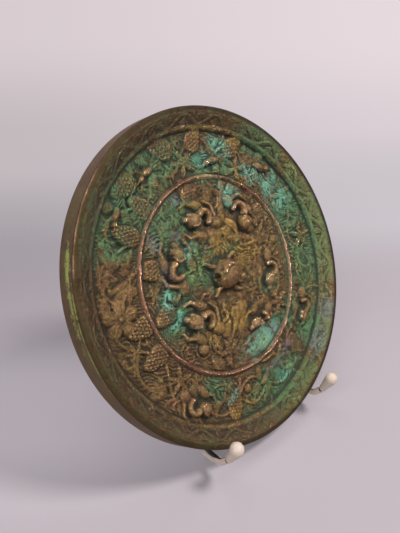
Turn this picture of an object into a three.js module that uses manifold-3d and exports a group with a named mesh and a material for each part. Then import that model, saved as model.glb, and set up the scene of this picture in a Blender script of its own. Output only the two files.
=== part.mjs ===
// A cast bronze mirror with beasts and grapevines in high relief, leaning in a bent wire easel
// that carries it on two sleeved prongs. Millimetres, +Z up, the face of the relief towards -Y.
import * as THREE from 'three';
import { mergeVertices } from 'three/addons/utils/BufferGeometryUtils.js';
import Module from 'manifold-3d';

const wasm = await Module();
wasm.setup();

// Driving dimensions of the mirror
const faceRadius = 120;
const backRadius = 121.7;
const rimHeight = 16.8;
const plateThickness = 4.2;
const backRise = 1.0;
const edgeRound = 1.3;
const lipWidth = 3.2;
const lipStep = 0.9;
const bandInnerRadius = 107.2;
const bandFootHeight = 10.8;
const bandLedge = 2;
const bandFootFillet = 1.2;
const scrollHeight = 1.5;
const scrollWidth = 1.6;
const scrollLength = 6.8;
const rimUnits = 22;
const ringRadius = 72;
const ringHeight = 2.5;
const ringHalfWidth = 3.6;
const knobRadius = 13;
const knobHeight = 12.2;
const knobHoleDiameter = 7;
const knobHoleFloor = 1.4;
const knobPartingGap = 0.3;
const knobLimbHeight = 3;
const knobLimbWidth = 2.2;
const reliefRoot = 1.2;
const leanDegrees = 23.3;
const tableGap = 6;

// Driving dimensions of the easel
const wireDiameter = 2.8;
const crossWireDiameter = 2.7;
const prongSpacing = 106;
const bendRadius = 4;
const creaseAhead = 6.4;
const armRise = 7.4;
const tipLeanDegrees = 26;
const armSlopeDegrees = 47;
const troughRun = 9.5;
const backrestHeight = 18;
const topRun = 13;
const topRise = 1.5;
const rearFootReach = 93.98;
const frontFootSpacing = 72;
const rearCrossSetback = 10;
const frontCrossReach = 0;
const restGap = 0.4;

// Driving dimensions of the soft sleeves and tips on the prongs
const sleeveOuterDiameter = 4.9;
const sleeveWall = 0.65;
const sleeveSlit = 3;
const sleeveSag = 4.4;
const leftSleeveLength = 25;
const rightSleeveLength = 11;
const tipLength = 19.5;
const tipBaseDiameter = 6;
const tipEndDiameter = 10;
const tipBoreDepth = 12;
const tipBaseRound = 0.5;
const fitGap = 0.35;

// How finely round things are faceted
const discSides = 48;
const wireSides = 6;
const tipSides = 10;
const bendStepDegrees = 30;

const lean = THREE.MathUtils.degToRad(leanDegrees);
const wireRadius = wireDiameter / 2;
const crossWireRadius = crossWireDiameter / 2;

// Joins and cuts

function toSolid(geometry) {
  const bare = geometry.clone();
  bare.deleteAttribute('normal');
  bare.deleteAttribute('uv');
  const welded = mergeVertices(bare, 1e-4);
  return new wasm.Manifold(new wasm.Mesh({
    numProp: 3,
    vertProperties: new Float32Array(welded.attributes.position.array),
    triVerts: new Uint32Array(welded.index.array),
  }));
}

function toGeometry(solid) {
  const mesh = solid.getMesh();
  const geometry = new THREE.BufferGeometry();
  geometry.setAttribute('position', new THREE.BufferAttribute(mesh.vertProperties, 3));
  geometry.setIndex(new THREE.BufferAttribute(mesh.triVerts, 1));
  return geometry;
}

function joined(geometries) {
  return geometries.map(toSolid).reduce((whole, piece) => whole.add(piece));
}

// Wire paths: straight runs joined by round bends, sampled only where they bend

class BentPath extends THREE.Curve {
  constructor(corners, radius) {
    super();
    this.stations = [{ point: corners[0], tangent: corners[1].clone().sub(corners[0]).normalize() }];
    for (let i = 1; i < corners.length - 1; i += 1) {
      this.addBend(corners[i - 1], corners[i], corners[i + 1], radius);
    }
    const last = corners[corners.length - 1];
    const tangent = last.clone().sub(corners[corners.length - 2]).normalize();
    this.stations.push({ point: last, tangent });
  }

  addBend(before, corner, after, radius) {
    const incoming = corner.clone().sub(before).normalize();
    const outgoing = after.clone().sub(corner).normalize();
    const turn = incoming.angleTo(outgoing);
    const cutBack = radius * Math.tan(turn / 2);
    const start = corner.clone().addScaledVector(incoming, -cutBack);
    const inward = outgoing.clone().addScaledVector(incoming, -outgoing.dot(incoming)).normalize();
    const steps = Math.max(1, Math.round(THREE.MathUtils.radToDeg(turn) / bendStepDegrees));
    for (let i = 0; i <= steps; i += 1) {
      const angle = turn * i / steps;
      this.stations.push({
        point: start.clone()
          .addScaledVector(incoming, radius * Math.sin(angle))
          .addScaledVector(inward, radius * (1 - Math.cos(angle))),
        tangent: incoming.clone().multiplyScalar(Math.cos(angle))
          .addScaledVector(inward, Math.sin(angle)),
      });
    }
  }

  get steps() {
    return this.stations.length - 1;
  }

  station(share) {
    return this.stations[Math.round(share * this.steps)];
  }

  getPointAt(share) {
    return this.station(share).point.clone();
  }

  getTangentAt(share) {
    return this.station(share).tangent.clone();
  }
}

function swept(shape, path) {
  return new THREE.ExtrudeGeometry(shape, { steps: path.steps, bevelEnabled: false, extrudePath: path });
}

function roundSection(radius, sides) {
  const corners = [];
  for (let i = 0; i < sides; i += 1) {
    const angle = 2 * Math.PI * i / sides;
    corners.push(new THREE.Vector2(radius * Math.cos(angle), radius * Math.sin(angle)));
  }
  return new THREE.Shape(corners);
}

// The mirror stands in its own frame: X across, Y up the face, Z out of the relief, back rim at Z 0

const faceUp = new THREE.Vector3(0, Math.sin(lean), Math.cos(lean));
const faceOut = new THREE.Vector3(0, -Math.cos(lean), Math.sin(lean));
const lowestEdge = Math.max(
  backRadius * Math.cos(lean),
  faceRadius * Math.cos(lean) - rimHeight * Math.sin(lean),
);
const mirrorOrigin = new THREE.Vector3(0, rimHeight * Math.cos(lean), tableGap + lowestEdge);

function placed(across, up, out) {
  return mirrorOrigin.clone()
    .add(new THREE.Vector3(across, 0, 0))
    .addScaledVector(faceUp, up)
    .addScaledVector(faceOut, out);
}

function mirrorProfile() {
  const lipInner = faceRadius - edgeRound - lipWidth;
  const ringTop = plateThickness + ringHeight;
  const points = [
    [0, -backRise],
    [backRadius * 0.5, -backRise * 0.75],
    [backRadius * 0.8, -backRise * 0.36],
    [backRadius - edgeRound, 0],
    [backRadius, edgeRound],
    [faceRadius, rimHeight - edgeRound],
    [faceRadius - edgeRound * 0.3, rimHeight - edgeRound * 0.3],
    [faceRadius - edgeRound, rimHeight],
    [lipInner, rimHeight],
    [lipInner - lipStep, rimHeight - lipStep],
    [bandInnerRadius + bandLedge * 0.8, bandFootHeight],
    [bandInnerRadius - bandLedge * 0.2, bandFootHeight],
    [bandInnerRadius - bandLedge * 1.1, plateThickness + bandFootFillet],
    [bandInnerRadius - bandLedge * 1.8, plateThickness],
    [ringRadius + ringHalfWidth, plateThickness],
    [ringRadius + ringHalfWidth * 0.25, ringTop],
    [ringRadius - ringHalfWidth * 0.25, ringTop],
    [ringRadius - ringHalfWidth, plateThickness],
    [0, plateThickness],
  ];
  return points.map(([r, z]) => new THREE.Vector2(r, z));
}

function turned(profile, sides) {
  const geometry = new THREE.LatheGeometry(profile, sides);
  geometry.rotateX(Math.PI / 2);
  return geometry;
}

// Relief motifs: each lies on the plane Z 0, faces +X, and has its sizes as shares of its own length

function mound(x, y, z, rx, ry, rz, sides = 6) {
  const profile = [[0, -0.5], [1, 0.06], [0.72, 0.7], [0, 1]];
  const geometry = turned(profile.map(([r, h]) => new THREE.Vector2(r, h)), sides);
  geometry.scale(rx, ry, rz);
  geometry.translate(x, y, z);
  return geometry;
}

function bead(x, y, z, rx, ry, rz) {
  const geometry = new THREE.IcosahedronGeometry(1, 0);
  geometry.scale(rx, ry, rz);
  geometry.translate(x, y, z);
  return geometry;
}

function berry(x, y, radius, height) {
  const geometry = new THREE.SphereGeometry(1, 6, 2);
  geometry.rotateX(Math.PI / 2);
  geometry.scale(radius, radius, height);
  geometry.translate(x, y, -height * 0.1);
  return geometry;
}

function limb(fromX, fromY, toX, toY, height, width) {
  const length = Math.hypot(toX - fromX, toY - fromY);
  const geometry = new THREE.OctahedronGeometry(1, 0);
  geometry.scale(length / 2 + width * 1.3, width * 1.6, height * 1.25);
  geometry.rotateZ(Math.atan2(toY - fromY, toX - fromX));
  geometry.translate((fromX + toX) / 2, (fromY + toY) / 2, -height * 0.15);
  return geometry;
}

function beast(length, curl) {
  const l = length;
  const headY = -0.04 * curl * l;
  return [
    mound(-0.2 * l, -0.03 * curl * l, 0, 0.27 * l, 0.17 * l, 0.2 * l),
    mound(0.24 * l, headY, 0.03 * l, 0.19 * l, 0.17 * l, 0.24 * l),
    bead(0.4 * l, headY - 0.05 * curl * l, 0.1 * l, 0.12 * l, 0.1 * l, 0.11 * l),
    limb(0.1 * l, 0.1 * l, 0.32 * l, 0.28 * l, 0.12 * l, 0.06 * l),
    limb(0.1 * l, -0.1 * l, 0.32 * l, -0.3 * l, 0.12 * l, 0.06 * l),
    limb(-0.32 * l, 0.1 * l, -0.1 * l, 0.29 * l, 0.13 * l, 0.07 * l),
    limb(-0.34 * l, -0.12 * l, -0.14 * l, -0.31 * l, 0.13 * l, 0.07 * l),
    limb(-0.4 * l, 0, -0.66 * l, 0.18 * curl * l, 0.09 * l, 0.05 * l),
  ];
}

function bird(length) {
  const l = length;
  return [
    mound(0, 0, 0, 0.27 * l, 0.15 * l, 0.22 * l),
    bead(0.29 * l, 0.04 * l, 0.08 * l, 0.13 * l, 0.1 * l, 0.13 * l),
    limb(0.04 * l, 0.08 * l, -0.16 * l, 0.36 * l, 0.13 * l, 0.1 * l),
    limb(0.04 * l, -0.08 * l, -0.16 * l, -0.36 * l, 0.13 * l, 0.1 * l),
    limb(-0.2 * l, 0, -0.54 * l, 0.06 * l, 0.11 * l, 0.08 * l),
  ];
}

function grapes(length) {
  const size = length * 0.15;
  const rows = [2, 3, 2, 1];
  return rows.flatMap((count, row) => Array.from({ length: count }, (_, i) => {
    const across = (i - (count - 1) / 2) * size * 1.9;
    const height = size * (Math.abs(across) < size ? 1.45 : 1.1);
    return berry((row - 1.4) * size * 1.7, across, size, height);
  }));
}

function leaf(length) {
  const lobes = 5;
  const outline = [];
  for (let i = 0; i < lobes * 2; i += 1) {
    const angle = Math.PI * i / lobes;
    const reach = length / 2 * (i % 2 === 0 ? 1 : 0.5);
    outline.push(new THREE.Vector2(reach * Math.cos(angle), reach * Math.sin(angle)));
  }
  const blade = new THREE.ExtrudeGeometry(new THREE.Shape(outline), {
    depth: length * 0.15,
    bevelEnabled: false,
  });
  blade.translate(0, 0, -length * 0.05);
  return [blade];
}

function blossom(length) {
  const petals = [0, 1, 2, 3].map((quarter) => {
    const petal = limb(length * 0.16, 0, length * 0.36, 0, length * 0.16, length * 0.13);
    petal.rotateZ(Math.PI / 4 + Math.PI * quarter / 2);
    return petal;
  });
  return [...petals, bead(0, 0, length * 0.08, length * 0.13, length * 0.13, length * 0.12)];
}

function boss(length) {
  return [mound(0, 0, 0, length / 2, length / 2, length * 0.42)];
}

function plume(length) {
  return [0.5, 0, -0.5].map((spread) => {
    const feather = limb(-length * 0.3, 0, length * 0.4, 0, length * 0.13, length * 0.08);
    feather.rotateZ(spread);
    return feather;
  });
}

const motifs = { beast, bird, grapes, leaf, blossom, boss, plume };

// Where the motifs lie: kind, clock angle and radius (share of the face), heading, length, curl.
// Angles run anticlockwise from +X in degrees, lengths are shares of the face radius.
const layout = [
  ['beast', 54, 0.40, -70, 0.29, 1],
  ['beast', 104, 0.365, 176, 0.28, -1],
  ['beast', 158, 0.36, 78, 0.29, 1],
  ['beast', 219, 0.345, 160, 0.29, -1],
  ['beast', 346, 0.385, -118, 0.26, 1],
  ['beast', 297, 0.40, 190, 0.25, 1],
  ['boss', 12, 0.50, 0, 0.08, 1],
  ['grapes', 104, 0.54, 100, 0.16, 1],
  ['grapes', 163, 0.545, 170, 0.16, 1],
  ['grapes', 192, 0.51, 200, 0.15, 1],
  ['grapes', 38, 0.50, 40, 0.15, 1],
  ['boss', 230, 0.48, 0, 0.085, 1],
  ['boss', 111, 0.50, 0, 0.05, 1],
  ['leaf', 74, 0.49, 80, 0.2, 1],
  ['leaf', 148, 0.56, 150, 0.12, 1],
  ['leaf', 322, 0.49, 320, 0.19, 1],
  ['leaf', 255, 0.47, 250, 0.17, 1],
  ['grapes', 107, 0.83, 160, 0.17, 1],
  ['grapes', 131, 0.82, 200, 0.17, 1],
  ['grapes', 133, 0.68, 130, 0.16, 1],
  ['grapes', 148, 0.70, 150, 0.16, 1],
  ['grapes', 89, 0.83, 60, 0.16, 1],
  ['grapes', 67, 0.82, 30, 0.17, 1],
  ['grapes', 190, 0.67, 190, 0.16, 1],
  ['grapes', 205, 0.69, 200, 0.16, 1],
  ['grapes', 255, 0.80, 250, 0.16, 1],
  ['grapes', 305, 0.76, 300, 0.16, 1],
  ['bird', 118.5, 0.77, 205, 0.22, 1],
  ['bird', 142, 0.79, 235, 0.21, 1],
  ['bird', 79, 0.70, 180, 0.22, 1],
  ['bird', 49, 0.79, 330, 0.24, 1],
  ['bird', 277, 0.73, 20, 0.22, 1],
  ['beast', 235, 0.79, 320, 0.3, -1],
  ['beast', 325, 0.75, 240, 0.26, 1],
  ['blossom', 182.3, 0.76, 10, 0.23, 1],
  ['plume', 162, 0.76, 75, 0.18, 1],
  ['plume', 170, 0.69, 230, 0.18, 1],
  ['plume', 217, 0.80, 130, 0.17, 1],
  ['leaf', 98, 0.70, 110, 0.18, 1],
  ['leaf', 64, 0.69, 60, 0.18, 1],
  ['leaf', 29, 0.78, 30, 0.2, 1],
  ['leaf', 5, 0.77, 10, 0.2, 1],
  ['leaf', 338, 0.80, 340, 0.17, 1],
  ['leaf', 292, 0.70, 280, 0.18, 1],
  ['leaf', 222, 0.70, 220, 0.17, 1],
  ['boss', 264.6, 0.72, 0, 0.07, 1],
  ['boss', 13.3, 0.71, 0, 0.06, 1],
  ['boss', 349, 0.68, 0, 0.06, 1],
];

function relief() {
  return layout.flatMap(([kind, clock, radius, heading, length, curl]) => {
    const angle = THREE.MathUtils.degToRad(clock);
    return motifs[kind](length * faceRadius, curl).map((piece) => {
      piece.rotateZ(THREE.MathUtils.degToRad(heading));
      piece.translate(
        radius * faceRadius * Math.cos(angle),
        radius * faceRadius * Math.sin(angle),
        plateThickness,
      );
      return piece;
    });
  });
}

// Low scrolls round the sloping rim band: a round bud and a bent leaf in turn

function rimScrolls() {
  const bandWidth = faceRadius - edgeRound - lipWidth - lipStep - bandInnerRadius;
  const middle = bandInnerRadius + bandWidth / 2 + lipStep;
  const slope = Math.atan2(rimHeight - lipStep - bandFootHeight, bandWidth);
  const level = (rimHeight - lipStep + bandFootHeight) / 2;
  const pieces = [];
  for (let i = 0; i < rimUnits * 2; i += 1) {
    const bud = i % 2 === 0;
    const halfSpan = bud ? 0 : scrollLength / 2;
    const side = bud ? -scrollWidth / 2 : scrollWidth / 2;
    const width = bud ? scrollWidth : scrollWidth * 0.75;
    const piece = limb(side, -halfSpan, -side, halfSpan, scrollHeight, width);
    piece.rotateY(-slope);
    piece.translate(middle, 0, level);
    piece.rotateZ(2 * Math.PI * (i + 0.5) / (rimUnits * 2));
    pieces.push(piece);
  }
  return pieces;
}

// The knob: a crouching beast drawn up into a dome, bored through for a cord

function knob() {
  const r = knobRadius;
  return [
    mound(0, 0, 0, r, r * 0.86, knobHeight, 10),
    mound(r * 0.7, -r * 0.35, 0, r * 0.5, r * 0.45, knobHeight * 0.85),
    limb(-r * 0.6, r * 0.5, -r * 1.2, r * 0.8, knobLimbHeight, knobLimbWidth),
    limb(-r * 0.6, -r * 0.6, -r * 1.1, -r * 0.95, knobLimbHeight, knobLimbWidth),
    limb(r * 0.3, r * 0.6, r * 0.9, r * 1.0, knobLimbHeight, knobLimbWidth),
  ].map((piece) => piece.translate(0, 0, plateThickness));
}

function knobHole() {
  const bore = new THREE.CylinderGeometry(knobHoleDiameter / 2, knobHoleDiameter / 2, knobRadius * 4, 16);
  bore.rotateZ(Math.PI / 2);
  bore.translate(0, 0, plateThickness + knobHoleFloor + knobHoleDiameter / 2);
  return toSolid(bore);
}

// The space over the field from a floor upwards, in which the relief and the knob are cut off

function spaceAbove(floor) {
  const space = new THREE.CylinderGeometry(bandInnerRadius, bandInnerRadius, rimHeight, discSides);
  space.rotateX(Math.PI / 2);
  space.translate(0, 0, floor + rimHeight / 2);
  return toSolid(space);
}

function mirrorSolid() {
  const disc = toSolid(turned(mirrorProfile(), discSides));
  const figures = joined(relief()).intersect(spaceAbove(plateThickness - reliefRoot));
  return disc.add(figures).add(joined(rimScrolls())).subtract(knobHole());
}

// The knob is parted from the plate at its foot

function knobSolid() {
  return joined(knob()).intersect(spaceAbove(plateThickness + knobPartingGap)).subtract(knobHole());
}

// The easel: each side is one wire, from the prong tip under the mirror, up its back and
// down a rear leg. A rail runs forward from there along the table, in towards the other one,
// and a riser carries the trough on it. Cross wires join the two sides.

const half = prongSpacing / 2;
const rimDropAtProng = Math.sqrt(faceRadius ** 2 - half ** 2);
const backDropAtProng = Math.sqrt(backRadius ** 2 - half ** 2);
const frontEdge = placed(half, -rimDropAtProng, rimHeight);
const backEdge = placed(half, -backDropAtProng, 0);
const footLevel = wireRadius * Math.cos(Math.PI / wireSides);

function easelCorners() {
  const tipLean = THREE.MathUtils.degToRad(tipLeanDegrees);
  const armLevel = Math.min(backEdge.z, frontEdge.z) - restGap - wireRadius;
  const crease = new THREE.Vector3(0, frontEdge.y - creaseAhead, armLevel + armRise);
  const tipDirection = new THREE.Vector3(0, -Math.sin(tipLean), Math.cos(tipLean));
  const armStart = crease.y + armRise / Math.tan(THREE.MathUtils.degToRad(armSlopeDegrees));
  const heel = new THREE.Vector3(0, backEdge.y + troughRun, armLevel);
  const restOut = -(backRise * 0.8 + restGap + wireRadius);
  const top = placed(0, backrestHeight, restOut);
  return {
    crease,
    tipDirection,
    wireEnd: crease.clone().addScaledVector(tipDirection, tipBoreDepth - fitGap),
    troughStart: new THREE.Vector3(0, armStart, armLevel),
    heel,
    top,
    shoulder: top.clone().add(new THREE.Vector3(0, topRun, topRise)),
    rearFoot: new THREE.Vector3(0, rearFootReach, footLevel),
    frontFoot: new THREE.Vector3(0, heel.y, footLevel),
  };
}

const easel = easelCorners();

function sideWire(x) {
  const run = [
    easel.wireEnd, easel.crease, easel.troughStart, easel.heel, easel.top, easel.shoulder,
    easel.rearFoot,
  ];
  const corners = run.map((corner) => corner.clone().setX(x));
  return swept(roundSection(wireRadius, wireSides), new BentPath(corners, bendRadius));
}

// A straight wire whose flat sides lie up and down

function bar(from, to, radius) {
  const along = to.clone().sub(from);
  const rod = new THREE.CylinderGeometry(radius, radius, along.length(), wireSides);
  rod.rotateY(Math.PI / wireSides);
  rod.rotateZ(Math.PI / 2);
  rod.rotateY(-Math.atan2(along.z, Math.hypot(along.x, along.y)));
  rod.rotateZ(Math.atan2(along.y, along.x));
  const middle = from.clone().add(to).multiplyScalar(0.5);
  rod.translate(middle.x, middle.y, middle.z);
  return rod;
}

function railHalfWidth(y) {
  const share = (easel.rearFoot.y - y) / (easel.rearFoot.y - easel.frontFoot.y);
  return THREE.MathUtils.lerp(half, frontFootSpacing / 2, share);
}

function crossWire(halfWidth, y, z) {
  return bar(new THREE.Vector3(-halfWidth, y, z), new THREE.Vector3(halfWidth, y, z), crossWireRadius);
}

function footWires(side) {
  const rearEnd = easel.rearFoot.clone().setX(side * half);
  const frontEnd = easel.frontFoot.clone().setX(side * frontFootSpacing / 2);
  const carried = easel.heel.clone().setX(side * half);
  return [bar(rearEnd, frontEnd, wireRadius), bar(frontEnd, carried, crossWireRadius)];
}

function easelSolid() {
  const rearCross = rearFootReach - rearCrossSetback;
  return joined([
    sideWire(-half),
    sideWire(half),
    ...footWires(-1),
    ...footWires(1),
    crossWire(half, easel.top.y + topRun / 2, easel.top.z + topRise / 2),
    crossWire(railHalfWidth(rearCross), rearCross, footLevel),
    crossWire(railHalfWidth(frontCrossReach), frontCrossReach, footLevel),
  ]);
}

// The sleeves: slit soft tube that hugs the wire at the prong and sags off it further back

function sleeveSection() {
  const outer = sleeveOuterDiameter / 2;
  const inner = outer - sleeveWall;
  const slitHalf = Math.asin(sleeveSlit / 2 / inner);
  const start = Math.PI / 2 + slitHalf;
  const end = Math.PI / 2 - slitHalf + 2 * Math.PI;
  const steps = 6;
  const points = [];
  for (let i = 0; i <= steps; i += 1) {
    const angle = start + (end - start) * i / steps;
    points.push(new THREE.Vector2(outer * Math.cos(angle), outer * Math.sin(angle)));
  }
  for (let i = steps; i >= 0; i -= 1) {
    const angle = start + (end - start) * i / steps;
    points.push(new THREE.Vector2(inner * Math.cos(angle), inner * Math.sin(angle)));
  }
  return new THREE.Shape(points);
}

function sleeve(x, length) {
  const down = easel.troughStart.clone().sub(easel.crease).normalize();
  const start = easel.crease.clone().addScaledVector(down, bendRadius / 2);
  const sagStart = easel.troughStart.clone().addScaledVector(down, -0.5);
  const run = length - sagStart.distanceTo(start);
  const share = Math.max(run, 1) / (leftSleeveLength - sagStart.distanceTo(start));
  const sagMiddle = sagStart.clone().add(new THREE.Vector3(0, run * 0.45, -sleeveSag * 0.75 * share));
  const end = sagStart.clone().add(new THREE.Vector3(0, run * 0.93, -sleeveSag * share));
  const corners = [start, sagStart, sagMiddle, end].map((corner) => corner.clone().setX(x));
  return swept(sleeveSection(), new BentPath(corners, bendRadius / 2));
}

// The tips: drop-shaped soft caps pushed over the wire ends

function tip(x) {
  const bore = wireRadius + fitGap;
  const endRadius = tipEndDiameter / 2;
  const centre = tipLength - endRadius;
  const profile = [
    new THREE.Vector2(0, tipBoreDepth),
    new THREE.Vector2(bore, tipBoreDepth),
    new THREE.Vector2(bore, 0),
    new THREE.Vector2(tipBaseDiameter / 2 - tipBaseRound, 0),
    new THREE.Vector2(tipBaseDiameter / 2, tipBaseRound),
  ];
  const steps = 5;
  for (let i = 0; i <= steps; i += 1) {
    const angle = Math.PI / 2 * i / steps - 0.15 * (1 - i / steps);
    profile.push(new THREE.Vector2(endRadius * Math.cos(angle), centre + endRadius * Math.sin(angle)));
  }
  profile[profile.length - 1].x = 0;
  const geometry = new THREE.LatheGeometry(profile, tipSides);
  const turnedAxis = new THREE.Vector3(0, 1, 0);
  geometry.applyQuaternion(new THREE.Quaternion().setFromUnitVectors(turnedAxis, easel.tipDirection));
  const base = easel.crease.clone().addScaledVector(easel.tipDirection, fitGap);
  geometry.translate(x, base.y, base.z);
  return geometry;
}

// Materials and the finished group

const bronze = new THREE.MeshStandardMaterial({ color: 0x5d5a3c, roughness: 0.55, metalness: 0.6 });
const blackPaint = new THREE.MeshStandardMaterial({ color: 0x15130f, roughness: 0.5, metalness: 0.2 });
const creamVinyl = new THREE.MeshStandardMaterial({ color: 0xcfc0b2, roughness: 0.55, metalness: 0 });

function named(name, geometry, material) {
  const mesh = new THREE.Mesh(geometry, material);
  mesh.name = name;
  return mesh;
}

const group = new THREE.Group();

const mirrorFrame = new THREE.Group();
mirrorFrame.position.copy(mirrorOrigin);
mirrorFrame.rotation.x = Math.PI / 2 - lean;
mirrorFrame.add(named('mirror', toGeometry(mirrorSolid()), bronze));
mirrorFrame.add(named('mirror_knob', toGeometry(knobSolid()), bronze));
group.add(mirrorFrame);

group.add(named('stand_frame', toGeometry(easelSolid()), blackPaint));
group.add(named('arm_sleeve_left', sleeve(-half, leftSleeveLength), creamVinyl));
group.add(named('arm_sleeve_right', sleeve(half, rightSleeveLength), creamVinyl));
group.add(named('prong_tip_left', tip(-half), creamVinyl));
group.add(named('prong_tip_right', tip(half), creamVinyl));

// The origin is the middle of the footprint, on the table

const bounds = new THREE.Box3().setFromObject(group, true);
const footprint = bounds.getCenter(new THREE.Vector3());
group.position.set(-footprint.x, -footprint.y, -bounds.min.z);

export default group;
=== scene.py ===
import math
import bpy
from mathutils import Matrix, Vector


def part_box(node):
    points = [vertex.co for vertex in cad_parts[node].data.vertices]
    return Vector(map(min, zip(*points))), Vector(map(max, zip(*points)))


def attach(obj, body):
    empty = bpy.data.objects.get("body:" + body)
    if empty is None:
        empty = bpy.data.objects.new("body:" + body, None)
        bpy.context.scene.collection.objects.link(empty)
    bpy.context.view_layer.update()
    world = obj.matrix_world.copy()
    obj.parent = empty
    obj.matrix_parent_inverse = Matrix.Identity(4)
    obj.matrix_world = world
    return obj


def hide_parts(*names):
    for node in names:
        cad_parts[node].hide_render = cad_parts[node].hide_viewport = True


bl_info = {
    "name": "Bronze mirror on a wire easel",
    "version": (1, 0, 0),
    "blender": (4, 5, 0),
    "location": "View3D > Sidebar > Mirror",
    "description": "Casts a beast and grapevine mirror, its patina and the wire easel that holds it",
    "category": "Add Mesh",
}

import bpy
import numpy as np
from bpy.props import FloatProperty, FloatVectorProperty, IntProperty, PointerProperty
from mathutils import Matrix, Vector

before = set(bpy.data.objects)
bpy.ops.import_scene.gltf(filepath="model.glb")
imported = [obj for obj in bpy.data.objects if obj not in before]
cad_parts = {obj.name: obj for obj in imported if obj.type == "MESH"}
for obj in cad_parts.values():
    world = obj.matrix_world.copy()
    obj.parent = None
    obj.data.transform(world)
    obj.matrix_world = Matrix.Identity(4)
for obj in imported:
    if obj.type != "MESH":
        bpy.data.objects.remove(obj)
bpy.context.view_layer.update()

# Sizes of the casting, in millimetres: X across the face, Y up it, Z out of the relief

MM = 0.001
LEAN = math.radians(23.3)
FACE_RADIUS = 120.0
RIM_HEIGHT = 16.8
PLATE = 4.2
EDGE_ROUND = 1.3
LIP_INNER = 115.5
LIP_STEP = 0.9
BAND_INNER = 106.8
BAND_FOOT = 10.8
FIELD_RISE = 94.0
FIELD_EDGE = 104.6
RING_RADIUS = 72.0
RING_HEIGHT = 2.6
RING_HALF = 2.1
KNOB_RADIUS = 13.0
KNOB_HEIGHT = 12.2
KNOB_HOLE = 7.0
KNOB_HOLE_LEVEL = 9.1
FLAT_RADIUS = FACE_RADIUS - EDGE_ROUND
BACK_RISE = 1.0

# Where the patina counts a point as on the front or on the back, and how high the tallest forms stand

FRONT_LEVEL = 1.5
BACK_LEVEL = 0.9
TALLEST_FORM = 6.0

mirror_low, mirror_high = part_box("mirror")
BACK_RADIUS = (mirror_high[0] - mirror_low[0]) / 2 / MM
MIRROR_ORIGIN = Vector((
    0,
    mirror_low[1] / MM + FLAT_RADIUS * math.sin(LEAN) + RIM_HEIGHT * math.cos(LEAN),
    mirror_low[2] / MM + BACK_RADIUS * math.cos(LEAN) - EDGE_ROUND * math.sin(LEAN),
))

# Radius and height of the turned face, from the middle out, and how many mesh rings each stretch has
FACE_PROFILE = [
    (0, PLATE, 0),
    (RING_RADIUS - RING_HALF, PLATE, 77),
    (RING_RADIUS - RING_HALF / 3, PLATE + RING_HEIGHT * 0.75, 2),
    (RING_RADIUS, PLATE + RING_HEIGHT, 1),
    (RING_RADIUS + RING_HALF / 3, PLATE + RING_HEIGHT * 0.75, 1),
    (RING_RADIUS + RING_HALF, PLATE, 2),
    (FIELD_RISE, PLATE, 28),
    (FIELD_EDGE, PLATE + 2.6, 12),
    (BAND_INNER - 0.7, BAND_FOOT - 0.8, 2),
    (BAND_INNER, BAND_FOOT, 1),
    (BAND_INNER + 2, BAND_FOOT, 2),
    (LIP_INNER - LIP_STEP, RIM_HEIGHT - LIP_STEP, 11),
    (LIP_INNER, RIM_HEIGHT, 1),
    (FLAT_RADIUS, RIM_HEIGHT, 2),
]

# Radius and height of the wall and the back, from the lip round to near the middle of the back
WALL_PROFILE = [
    (FACE_RADIUS - EDGE_ROUND * 0.3, RIM_HEIGHT - EDGE_ROUND * 0.3),
    (FACE_RADIUS, RIM_HEIGHT - EDGE_ROUND),
    (FACE_RADIUS + 0.1, 14.7),
    (FACE_RADIUS + 0.3, 13.2),
    (FACE_RADIUS + 0.5, 11.0),
    (FACE_RADIUS + 0.8, 8.8),
    (FACE_RADIUS + 1.0, 6.5),
    (FACE_RADIUS + 1.3, 4.0),
    (BACK_RADIUS, EDGE_ROUND),
    (BACK_RADIUS - EDGE_ROUND * 0.3, EDGE_ROUND * 0.3),
    (BACK_RADIUS - EDGE_ROUND, 0),
    (BACK_RADIUS * 0.8, -0.36),
    (BACK_RADIUS * 0.5, -0.75),
]

# Shapes of the relief, as heights over a patch of the face


def dome(u, v, place, reach, rise, turn=0.0):
    """A round cushion: reach is its half length and half width."""
    du, dv = u - place[0], v - place[1]
    along = du * math.cos(turn) + dv * math.sin(turn)
    across = dv * math.cos(turn) - du * math.sin(turn)
    share = (along / reach[0]) ** 2 + (across / reach[1]) ** 2
    return rise * np.sqrt(np.clip(1 - share, 0, 1))


def strand(u, v, points, width, rise, tip=0.5):
    """A round ridge along points that narrows and sinks to its tip."""
    height = np.zeros_like(u)
    count = len(points) - 1
    for i in range(count):
        (su, sv), (eu, ev) = points[i], points[i + 1]
        du, dv = eu - su, ev - sv
        share = np.clip(((u - su) * du + (v - sv) * dv) / (du * du + dv * dv + 1e-9), 0, 1)
        away = (u - su - share * du) ** 2 + (v - sv - share * dv) ** 2
        left = 1 - (1 - tip) * (i + share) / count
        height = np.maximum(height, rise * left * np.sqrt(np.clip(1 - away / (width * left) ** 2, 0, 1)))
    return height


def arc(centre, radius, start, end, steps=9, shrink=0.0):
    """Points along an arc, in degrees, that may wind inwards."""
    points = []
    for i in range(steps + 1):
        share = i / steps
        angle = math.radians(start + (end - start) * share)
        reach = radius * (1 - shrink * share)
        points.append((centre[0] + reach * math.cos(angle), centre[1] + reach * math.sin(angle)))
    return points


def grooves(along, pitch, depth):
    """Furrows across a direction."""
    return depth * (0.5 + 0.5 * np.cos(2 * math.pi * along / pitch))


def ribbed(shape, low, ribs):
    """The shape with ribs cut into it where it stands higher than low."""
    return shape - np.where(shape > low, ribs, 0)


# Each motif is drawn in units of its own length, heading along u; mm is one millimetre in those units


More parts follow.
